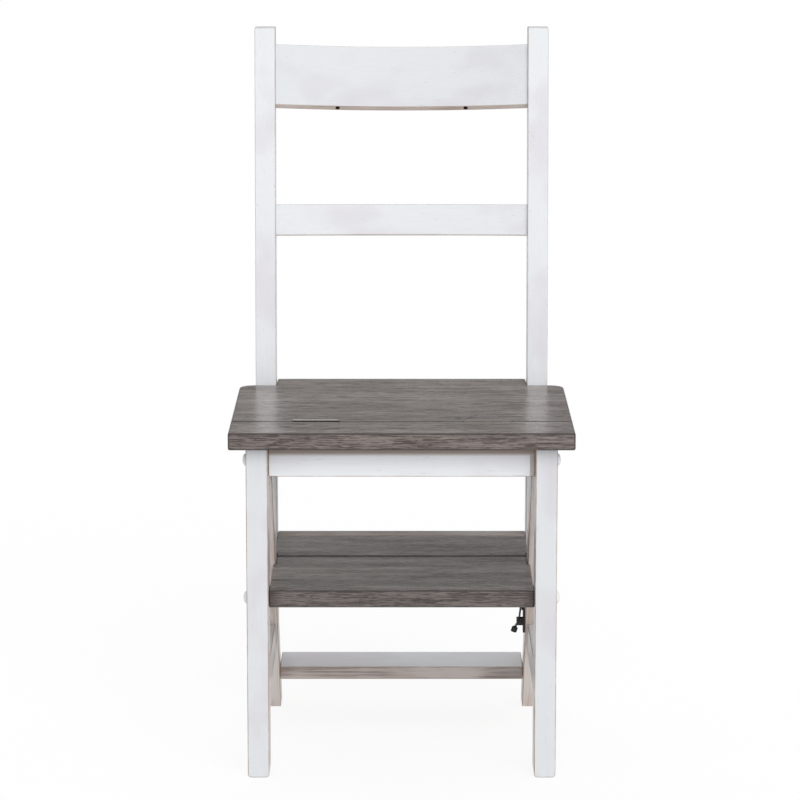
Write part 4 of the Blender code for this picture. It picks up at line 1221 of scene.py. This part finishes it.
@dataclass
class SideFrames:
    """Legs, stringers, side stretchers, posts and side rails: the two painted sides."""

    shop: Workshop
    butt_arris: float = 0.0012
    foot_round: float = 0.005
    foot_steps: int = 7
    # Amounts of tan on inward and downward faces: painted shade as well as thinned paint.
    inner_bare: float = 0.52
    under_bare: float = 0.8
    post_bare: float = 0.35
    thin_bare: float = 0.88
    sloped_under: Vector = (0, -0.8, -0.6)
    sloped_thin: Colour = (0.87, 0.755, 0.685)
    sloped_streak: Colour = (0.60, 0.485, 0.41)
    # The legs take a darker copy of the paint as painted shade.
    leg_strength: float = 0.885
    back_rubbed: Colour = (0.50, 0.42, 0.355)
    back_rub: float = 0.38
    post_stations: int = 25
    post_tip: float = 0.010

    def legs(self) -> None:
        """The front legs, with the lower corners of their faces rounded by a quarter circle."""
        quarter = np.linspace(0, QUARTER, self.foot_steps)
        near, far = self.foot_round * (1 - np.cos(quarter)), self.foot_round * (1 - np.sin(quarter))
        for side, word in SIDES:
            node = f"front_leg_{word}"
            low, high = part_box(node)
            left, right = np.stack([low.x + near, low.z + far], 1), np.stack([high.x - far, low.z + near], 1)
            outline = [*left, *right, (high.x, high.z), (low.x, high.z)]
            bare = [((-side, 0, 0), self.inner_bare), (DOWN, 1.0)]
            strength = self.leg_strength
            self.shop.timber(node, outline, bare, Grain.UPRIGHT, Lie.BACKWARDS, strength=strength)

    def stringers(self) -> None:
        """The sloping boards on both sides of the seam."""
        lines = self.shop.lines
        top, middle = lines.underside, lines.seat_top / 2
        start = lines.origin + lines.leg_back + FIT_GAP
        meeting = lines.crossing(lambda height: lines.ahead(height) - start, top)
        low_end = lines.crossing(lambda height: lines.behind(height) - lines.butt(height), middle)
        high_end = lines.crossing(lambda height: lines.beyond(height) - lines.butt(height), middle)
        outlines = {
            "front": [
                (lines.ahead(0), 0),
                (lines.seam(0), 0),
                (lines.seam(top), top),
                (start, top),
                (start, meeting),
            ],
            "rear": [
                (lines.behind(low_end), low_end),
                (lines.beyond(high_end), high_end),
                (lines.beyond(top), top),
                (lines.behind(top), top),
            ],
        }
        colours = {"thin": self.sloped_thin, "streak": self.sloped_streak}
        for side, word in SIDES:
            bare = [((-side, 0, 0), self.thin_bare), (self.sloped_under, self.thin_bare), (DOWN, 1.0)]
            for half, outline in outlines.items():
                self.shop.timber(f"{half}_stringer_{word}", outline, bare, Grain.SLOPED, **colours)

    def stretchers(self) -> None:
        """The level rails low down, and the rails under the seat's sides."""
        lines = self.shop.lines
        near = CloseEdges((1,), self.butt_arris)
        for side, word in SIDES:
            bare = [((-side, 0, 0), self.inner_bare), (DOWN, self.under_bare)]
            node = f"side_stretcher_{word}"
            low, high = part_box(node)
            butt = [(lines.ahead(height) - FIT_GAP, height) for height in (low.z, high.z)]
            outline = [(low.y, low.z), *butt, (low.y, high.z)]
            self.shop.timber(node, outline, bare, Grain.BACKWARDS, near=near)

            node = f"rear_side_rail_{word}"
            low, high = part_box(node)
            outline = [(lines.butt(height), height) for height in (low.z, high.z)]
            outline += [(lines.beyond(height) + FIT_GAP, height) for height in (high.z, low.z)]
            self.shop.timber(node, outline, bare, Grain.BACKWARDS)

    def posts(self) -> None:
        """The rear posts, on the knee's smooth curve from their wedge foot to the top."""
        lines, tip = self.shop.lines, self.post_tip
        middle = lines.seat_top / 2
        toe = lines.crossing(lambda height: lines.behind(height) - lines.post_front(height), middle)
        heights = np.linspace(toe, lines.seat_top + lines.post_rise, self.post_stations)
        outline = [(lines.post_back(tip), tip), (lines.behind(tip), tip)]
        outline += [(lines.post_front(height), height) for height in heights]
        outline += [(lines.post_back(height), height) for height in heights[::-1]]
        wear = {"rubbed": self.back_rubbed, "rub": self.back_rub}
        for side, word in SIDES:
            bare = [((-side, 0, 0), self.post_bare), (DOWN, 1.0)]
            self.shop.timber(f"rear_post_{word}", outline, bare, Grain.UPRIGHT, **wear)

    def build(self) -> None:
        """Make both side frames."""
        self.legs()
        self.stringers()
        self.stretchers()
        self.posts()


@dataclass
class CrossRails:
    """The straight painted rails between the sides."""

    shop: Workshop
    tenon: float = 0.014
    # Undersides get a tan that is painted shade as well as thinned paint.
    under_bare: float = 0.8
    front_bare: float = 0.90
    # The seat's painted shadow along the apron's top, and the right leg's painted shadow on the apron's end.
    soil_drop: float = 0.0165
    soil_fade: float = 0.0060
    soil_start: float = 0.00715
    soil_end: float = 0.0065
    # Lighter copies of the paint, as painted light, for the apron under the seat and the stretcher low down.
    apron_strength: float = 1.09
    stretcher_strength: float = 1.12
    handled_reach: float = 0.075
    handled: Colour = (0.52, 0.42, 0.365)
    handled_dark: Colour = (0.17, 0.122, 0.096)
    stepped: Colour = (0.30, 0.242, 0.212)
    stepped_dark: Colour = (0.174, 0.132, 0.110)

    def rail(self, node: str, *bare: tuple[Vector, float], inset: float = 0.0, **changes: object) -> None:
        """A rail of one node's box, without the tenons that the posts hide.

        Args:
            node: The rail's node.
            bare: Where its paint is thinned and where painted shade lies, besides its underside.
            inset: How much of each end a post hides.
            changes: Fields of the paint that differ on it.
        """
        low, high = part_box(node)
        outline = [(low.y, low.z), (high.y, low.z), (high.y, high.z), (low.y, high.z)]
        self.shop.timber(node, outline, [(DOWN, self.under_bare), *bare], inset=inset, **changes)

    def build(self) -> None:
        """Make the rails."""
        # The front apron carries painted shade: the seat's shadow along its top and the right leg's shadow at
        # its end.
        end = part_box("front_apron")[1]
        self.rail(
            "front_apron",
            strength=self.apron_strength,
            soiled_height=(end.z - self.soil_drop, end.z - self.soil_drop + self.soil_fade),
            soiled_end=(end.x - self.soil_start, end.x - self.soil_end),
        )
        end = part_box("bottom_stretcher")[1]
        self.rail(
            "bottom_stretcher",
            ((0, -1, 0), self.front_bare),
            strength=self.stretcher_strength,
            thin=self.handled,
            streak=self.handled_dark,
            handled_end=(end.x - self.handled_reach, end.x),
        )
        self.rail("rear_apron", inset=self.tenon)
        stepped = {"thin": self.stepped, "streak": self.stepped_dark}
        self.rail("rear_step_rail", ((0, 0, 1), 1.0), inset=self.tenon, **stepped)


@dataclass
class Boards:
    """The grey boards: the seat in two parts with the hinges' pockets, and the two steps."""

    shop: Workshop
    seat_arris: float = 0.0026
    split_arris: float = 0.0020
    step_arris: float = 0.0018
    step_split_arris: float = 0.0034
    split_gap: float = 0.0015
    ear_radius: float = 0.020
    ear_steps: int = 14
    back_overhang: float = 0.010
    wide_half: float = 0.1747
    narrow_half: float = 0.1712
    hinge_spacing: float = 0.226
    pocket_half: float = 0.0313
    pocket_depth: float = 0.0024
    pocket_floor: float = 0.4491
    pocket_arris: float = 0.00003
    overrun: float = 0.004
    heart_drop: float = 0.16
    # The steps take a darker copy of the stain, faces and edges, as painted shade.
    step_strength: float = 0.785
    step_edges: float = 0.76
    step_mottle: float = 0.30
    # How far the painted shade reaches in from each end of a step.
    dark_reach: float = 0.020

    def board(self, node: str, right: Outline, near: CloseEdges, arris: float, **changes: object) -> Piece:
        """A board that is the same on both sides of the middle, with its rings' heart under its own middle.

        Args:
            node: The board's node.
            right: The right half of its outline, from the back to the front.
            near: Its edges that lie close to a neighbour.
            arris: The arrises' radius.
            changes: Fields of the stain that differ on it.

        Returns:
            The piece.
        """
        low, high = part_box(node)
        outline = [*right, *((-x, y) for x, y in right[::-1])]
        shape = slab(outline, low.z, high.z, Lie.UP, arris, BOARD_EDGES, near)
        heart = ((low.y + high.y) / 2, low.z - self.heart_drop)
        stain = StainedWood(f"stain_{node}", seed(node), heart, **changes)
        return self.shop.fit(shape, "wood", node, "grey_wood", stain.material())

    def pockets(self, edge: float, facing: int) -> list[Surface]:
        """The waste of the two hinge pockets in a board's split edge.

        Args:
            edge: World Y of that edge.
            facing: Which way the board lies from it.

        Returns:
            Two closed boxes that reach past the edge and the top.
        """
        top = self.shop.lines.seat_top + self.overrun
        start, end = sorted((edge - facing * self.overrun, edge + facing * self.pocket_depth))
        made = []
        for side, _ in SIDES:
            middle = side * self.hinge_spacing / 2
            low, high = middle - self.pocket_half, middle + self.pocket_half
            outline = [(low, start), (high, start), (high, end), (low, end)]
            pocket = slab(outline, self.pocket_floor, top, Lie.UP, self.pocket_arris)
            # The pocket walls take painted shade.
            pocket.values["groove"] += 1
            made.append(pocket)
        return made

    def seat(self) -> None:
        """The front strip and the large board with its tongue between the posts."""
        lines = self.shop.lines
        low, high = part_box("seat_front_board")
        half, front = high.x, low.y
        strip_back = lines.origin + lines.split - self.split_gap / 2
        main_front = strip_back + self.split_gap
        right = [(half, strip_back), (half, front)]
        strip = self.board("seat_front_board", right, CloseEdges((3,), self.split_arris), self.seat_arris)
        self.shop.carve(strip, self.pockets(strip_back, -1))

        ear_end = lines.butt(lines.seat_top)
        back = lines.post_front(lines.seat_top) + lines.post_at_seat + self.back_overhang
        angle = np.linspace(0, QUARTER, self.ear_steps + 1)
        round_x = half - self.ear_radius + self.ear_radius * np.sin(angle)
        round_y = ear_end - self.ear_radius + self.ear_radius * np.cos(angle)
        ear = [(self.wide_half, ear_end), *zip(round_x, round_y)]
        right = [(self.wide_half, back), *ear, (half, main_front)]
        near = CloseEdges((len(right) - 1,), self.split_arris)
        main_board = self.board("seat_rear_board", right, near, self.seat_arris)
        self.shop.carve(main_board, self.pockets(main_front, 1))

    def step(self, node: str, notch: float, halves: tuple[float, float], close: tuple[int, ...]) -> None:
        """A step whose width changes at a notch.

        Args:
            node: Its node.
            notch: World Y of its notch.
            halves: Half its width in front of the notch and behind it.
            close: Numbers of its edges that lie close to a neighbour.
        """
        low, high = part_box(node)
        fore, aft = halves
        right = [(aft, high.y), (aft, notch), (fore, notch), (fore, low.y)]
        self.board(
            node,
            right,
            CloseEdges(close, self.step_split_arris),
            self.step_arris,
            strength=self.step_strength,
            edge_strength=self.step_edges,
            mottle=self.step_mottle,
            dark_ends=(max(halves) - self.dark_reach, max(halves) - self.step_arris),
        )

    def steps(self) -> None:
        """The front step between the legs, and the rear step behind the seam."""
        lines = self.shop.lines
        front_edge, back_edge = 3, 7
        notch = lines.ahead(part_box("front_step")[1].z) - lines.seam_gap
        self.step("front_step", notch, (self.wide_half, self.narrow_half), (back_edge,))
        notch = lines.behind(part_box("rear_step")[0].z)
        self.step("rear_step", notch, (self.narrow_half, self.wide_half), (front_edge, back_edge))

    def build(self) -> None:
        """Make the seat and the steps."""
        self.seat()
        self.steps()


@dataclass(frozen=True)
class BowedRail:
    """A bowed rail's sizes, with its top's rise above the seat and its lower edge's slanting lip."""

    rise: float
    width: float
    thickness: float
    bow: float
    sag: float
    lip: float


@dataclass
class Back:
    """The bowed crest rail with its slanting lip and screw holes, and the bowed slat."""

    shop: Workshop
    crest: BowedRail = BowedRail(rise=0.4715, width=0.088, thickness=0.018, bow=0.018, sag=0.0035, lip=0.0055)
    slat: BowedRail = BowedRail(rise=0.250, width=0.043, thickness=0.016, bow=0.014, sag=0.0, lip=0.0015)
    half: float = 0.1747
    arris: float = 0.0015
    setback: float = 0.006
    # The lip and the underside get a tan that is painted shade as well as thinned paint.
    lip_from: float = 0.80
    lip_over: float = 0.15
    under_from: float = 0.6
    under_over: float = 0.3
    under_bare: float = 0.85
    hole_spacing: float = 0.178
    hole_radius: float = 0.0031
    hole_depths: tuple[float, ...] = (-0.004, 0.0002, 0.0006, 0.001, 0.011)
    # The crest takes a darker copy of the paint as painted shade.
    crest_strength: float = 0.93
    rubbed: Colour = (0.52, 0.47, 0.43)
    rub: float = 0.40
    lip_bare: Colour = (0.60, 0.50, 0.435)
    lip_streak: Colour = (0.42, 0.335, 0.28)
    # The crest's screw holes are filled with painted shade in this colour.
    hole_brown: Colour = (0.055, 0.033, 0.026)

    def foot(self, rail: BowedRail, share: np.ndarray) -> np.ndarray:
        """A rail's lower front line before it is pushed back, let down by the sag times the bend.

        Args:
            rail: The rail.
            share: Shares of the half span.

        Returns:
            A point for each share.
        """
        lines = self.shop.lines
        low = lines.seat_top + rail.rise - rail.width
        front = np.full_like(share, lines.post_front(low) + self.setback)
        return np.stack([share * self.half, front, low - rail.sag * (1 - share**2)], 1)

    def bowed(self, rail: BowedRail) -> Surface:
        """A rail whose section is carried from post to post along a bow.

        At a share of the half span, the bend is one less the share's square. The section there is pushed
        back, square to its leaning face, by the bow times the bend, and let down by the sag times the bend.

        Args:
            rail: The rail's sizes.

        Returns:
            The rail, with thinned paint and painted shade on its lip and underside.
        """
        up, back = self.shop.lines.leaning
        lip, width, thickness = rail.lip, rail.width, rail.thickness
        section = [(lip, 0), (0, lip), (0, thickness), (width, thickness), (width, 0)]
        spokes = Spokes.around(section, self.arris)
        ring = spokes.inner + spokes.outward
        share = np.linspace(-1, 1, BOW_STATIONS)
        pushed = ring[None, :, 1] + (rail.bow * (1 - share**2))[:, None]
        raised = ring[None, :, 0, None] * (up / up[2])
        points = self.foot(rail, share)[:, None] + raised + pushed[..., None] * back
        down, out = -spokes.outward.T / np.linalg.norm(spokes.outward, axis=1)
        slanting = np.clip(((down + out) / math.sqrt(2) - self.lip_from) / self.lip_over, 0, 1)
        under = np.clip((down - self.under_from) / self.under_over, 0, 1) * self.under_bare
        bare = np.broadcast_to(np.maximum(slanting, under), points.shape[:2]).ravel()
        wear = np.broadcast_to(spokes.fan, points.shape[:2]).ravel()
        values = {"wear": wear, "bare": bare, "groove": wear * 0}
        return Surface(points.reshape(-1, 3), closed_grid(*points.shape[:2]), values)

    def holes(self) -> list[Surface]:
        """The waste of the two screw holes in the crest rail's lip.

        Returns:
            Two closed drums, square to the lip.
        """
        up, back = self.shop.lines.leaning
        start, *_, end = self.hole_depths
        profile = [(start, 0.0), *((depth, self.hole_radius) for depth in self.hole_depths), (end, 0.0)]
        share = np.array([side * self.hole_spacing / 2 / self.half for side, _ in SIDES])
        pushed = self.crest.lip / 2 + self.crest.bow * (1 - share**2)
        mouths = self.foot(self.crest, share) + up * self.crest.lip / 2 + back * pushed[:, None]
        return [turning(profile, mouth, (up + back) / math.sqrt(2)) for mouth in mouths]

    def build(self) -> None:
        """Make the crest rail and the slat."""
        wear = {"rubbed": self.rubbed, "rub": self.rub}
        crest = self.shop.painted(
            self.bowed(self.crest),
            "crest_rail",
            Grain.ACROSS,
            strength=self.crest_strength,
            thin=self.lip_bare,
            streak=self.lip_streak,
            soot=self.hole_brown,
            **wear,
        )
        self.shop.carve(crest, self.holes())
        self.shop.painted(self.bowed(self.slat), "back_slat", Grain.ACROSS, **wear)


@dataclass
class Hardware:
    """Bolts and their caps, hinges with pins and screws, and the latch."""

    shop: Workshop
    cap_radius: float = 0.0085
    cap_height: float = 0.005
    cap_stem: float = 0.0062
    stem_length: float = 0.0025
    dome_steps: int = 12
    knob_radius: float = 0.0042
    knob_length: float = 0.009
    knob_lean: float = math.radians(20)
    knob_round: float = 0.0013
    neck_radius: float = 0.0022
    neck_length: float = 0.0016
    crown: float = 0.0006
    # The right hinges' dark colour: tarnish and the painted shade of the seat's split.
    hidden: Colour = (0.19, 0.168, 0.156)

    def caps(self) -> None:
        """A domed cap over each bolt: a quarter ellipse on a sunk stem, turned about the bolt's axis."""
        plastic = MouldedCap().material()
        angle = np.linspace(QUARTER, 0, self.dome_steps)
        dome = [(self.cap_height * math.sin(a), self.cap_radius * math.cos(a)) for a in angle]
        stem = [(0.0, self.cap_stem), (-self.stem_length, self.cap_stem), (-self.stem_length, 0.0)]
        for label in ("apron", "step"):
            for side, word in SIDES:
                node = f"{label}_cap_{word}"
                low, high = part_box(node)
                face = (high.x if side > 0 else low.x) - side * self.cap_height
                place = (face, (low.y + high.y) / 2, (low.z + high.z) / 2)
                shape = turning([*dome, *stem], place, (side, 0, 0))
                self.shop.fit(shape, "moulding", node, "cap_white", plastic)

    def knob(self, enamel: Material) -> None:
        """The latch's drum-shaped knob on its short neck, which leans away from the plate.

        Args:
            enamel: The latch's material.
        """
        low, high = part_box("latch_knob")
        drum = [
            (0.0, 0.0),
            (0.0, self.neck_radius),
            (self.neck_length, self.neck_radius),
            (self.neck_length, self.knob_radius),
            (self.knob_length, self.knob_radius),
            (self.knob_length, 0.0),
        ]
        place = ((low.x + high.x) / 2, (low.y + high.y) / 2, high.z)
        lean = (-math.sin(self.knob_lean), 0.0, -math.cos(self.knob_lean))
        shape = turning(rounded_profile(drum, self.knob_round), place, lean)
        self.shop.fit(shape, "turning", "latch_knob", "black_metal", enamel)

    def build(self) -> None:
        """Make the caps and the knob, and dress the metal whose shape the frame already has."""
        self.caps()
        enamel = BlackEnamel().material()
        self.knob(enamel)
        steel = BrushedSteel().material()
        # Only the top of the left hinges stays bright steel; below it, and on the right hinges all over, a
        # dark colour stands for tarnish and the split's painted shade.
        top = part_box("hinge_front_leaf_left")[1].z
        rubbed = BrushedSteel("hinge_steel_rubbed", clean_above=top - self.crown).material()
        hidden = {"stained": self.hidden, "metallic": 0.0, "clean_above": NOWHERE[0]}
        stained = BrushedSteel("hinge_steel_stained", **hidden).material()
        for node in frame["nodes"]:
            if node.startswith("hinge_"):
                left = node.endswith(("leaf_left", "pin_left")) or "_screw_left_" in node
                self.shop.dress(node, rubbed if left else stained)
            elif "_bolt_" in node:
                self.shop.dress(node, steel)
            elif node.startswith("latch_") and node != "latch_knob":
                self.shop.dress(node, enamel)


@dataclass
class Studio:
    """A pale floor, a soft sun in front and a weak one behind, an even sky and a band for gloss."""

    floor_size: float = 60.0
    floor_glow: float = 0.885
    floor_paint: float = 0.115
    floor_bounce: float = 0.72
    sky: float = 0.61
    backdrop: float = 0.98
    sun: float = 1.72
    fill: float = 0.62
    sun_angle: float = math.radians(50)
    sun_turn: Vector = (math.radians(61), 0.0, math.radians(14))
    fill_turn: Vector = (math.radians(58), 0.0, math.radians(190))
    card_radius: float = 2.6
    card_heights: tuple[float, float] = (0.65, 2.85)
    card_grey: float = 0.10

    def seen_rays(self, wiring: Wiring) -> Socket:
        """One for camera, glossy and transmission rays, and nothing for the rest.

        Args:
            wiring: The tree that needs it.

        Returns:
            The switch.
        """
        rays = wiring.node("LightPath", {})
        seen = wiring.math("MAXIMUM", rays["Is Camera Ray"], rays["Is Glossy Ray"])
        return wiring.math("MAXIMUM", seen, rays["Is Transmission Ray"])

    def place(self, name: str, points: np.ndarray, faces: list[list[int]], material: Material) -> Piece:
        """Put a piece of the studio round the chair.

        Args:
            name: Its name.
            points: Its points.
            faces: Its faces.
            material: Its material.

        Returns:
            The piece.
        """
        mesh = bpy.data.meshes.new(name)
        mesh.from_pydata(points.tolist(), [], faces)
        mesh.materials.append(material)
        made = bpy.data.objects.new(name, mesh)
        bpy.context.scene.collection.objects.link(made)
        return made

    def world(self) -> None:
        """An even sky that the camera sees as the pale backdrop."""
        world = bpy.data.worlds.new("studio_sky")
        world.use_nodes = True
        bpy.context.scene.world = world
        wiring = Wiring(world.node_tree)
        ends = {"To Min": self.sky, "To Max": self.backdrop}
        strength = wiring.node("MapRange", {"Value": self.seen_rays(wiring), **ends})["Result"]
        inputs = world.node_tree.nodes["Background"].inputs
        wiring.feed(inputs["Strength"], strength)
        wiring.feed(inputs["Color"], (1.0, 1.0, 1.0))

    def floor(self) -> None:
        """A pale floor whose own glow fills it up to the backdrop, and whose paint takes the shadow."""
        made = Finish("studio_floor")
        made.tree.nodes.clear()
        bounce = made.node("BsdfDiffuse", {"Color": (self.floor_bounce,) * 3})[0]
        paint = made.node("BsdfDiffuse", {"Color": (self.floor_paint,) * 3})[0]
        glow = made.node("Emission", {"Strength": self.floor_glow})[0]
        seen = made.node("AddShader", {0: paint, 1: glow})[0]
        either = made.node("MixShader", {"Fac": self.seen_rays(made), 1: bounce, 2: seen})[0]
        made.node("OutputMaterial", {"Surface": either})
        points = np.array([(-1, -1, 0), (1, -1, 0), (1, 1, 0), (-1, 1, 0)]) * self.floor_size / 2
        self.place("studio_floor", points, [[0, 1, 2, 3]], made.material)

    def card(self) -> None:
        """A grey band that only gloss sees, so that the satin boards stay dark from every side."""
        angle = np.linspace(0, 2 * math.pi, ROUND_STEPS, endpoint=False)
        ring = np.stack([self.card_radius * np.cos(angle), self.card_radius * np.sin(angle)], 1)
        points = np.concatenate([np.insert(ring, 2, height, axis=1) for height in self.card_heights])
        grey = Finish("studio_card").finish((self.card_grey,) * 3, 1.0)
        card = self.place("studio_card", points, closed_grid(2, ROUND_STEPS, capped=False), grey)
        card.visible_camera = False
        card.visible_diffuse = False
        card.visible_shadow = False

    def lamp(self, name: str, strength: float, turn: Vector) -> None:
        """A wide soft sun that leaves no glare on the boards.

        Args:
            name: Its name.
            strength: How bright it is.
            turn: Which way it shines.
        """
        lamp = bpy.data.lights.new(name, "SUN")
        lamp.energy = strength
        lamp.angle = self.sun_angle
        sun = bpy.data.objects.new(name, lamp)
        sun.rotation_euler = turn
        sun.visible_glossy = False
        bpy.context.scene.collection.objects.link(sun)

    def build(self) -> None:
        """Light the chair."""
        self.world()
        self.floor()
        self.card()
        self.lamp("studio_sun", self.sun, self.sun_turn)
        self.lamp("studio_fill", self.fill, self.fill_turn)
        bpy.context.scene.view_settings.view_transform = "Standard"


@dataclass
class PhotoCamera:
    """The photograph's viewpoint: nearly five metres in front, a third of a metre above the back."""

    place: Vector = (-0.0022, -4.8022, 1.3164)
    pitch: float = 0.17401
    focal_pixels: float = 3596.8
    picture_pixels: float = 800.0
    sensor: float = 36.0

    def build(self) -> None:
        """Set up the camera."""
        data = bpy.data.cameras.new("photo_camera")
        data.sensor_fit = "HORIZONTAL"
        data.sensor_width = self.sensor
        data.lens = self.focal_pixels * self.sensor / self.picture_pixels
        camera = bpy.data.objects.new("photo_camera", data)
        camera.location = self.place
        camera.rotation_euler = (QUARTER - self.pitch, 0.0, 0.0)
        bpy.context.scene.collection.objects.link(camera)
        bpy.context.scene.camera = camera


def main() -> None:
    """Build the pieces in order, light them, and log how many pieces were shaped."""
    logging.basicConfig(level=logging.INFO, format="%(name)s: %(message)s")
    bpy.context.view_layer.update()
    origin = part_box("seat_front_board")[0].y
    shop = Workshop(ChairLines(origin=origin))
    for assembly in (SideFrames(shop), CrossRails(shop), Boards(shop), Back(shop), Hardware(shop)):
        assembly.build()
    log.info("%d pieces shaped", shop.count)
    Studio().build()
    PhotoCamera().build()


if __name__ == "__main__":
    main()
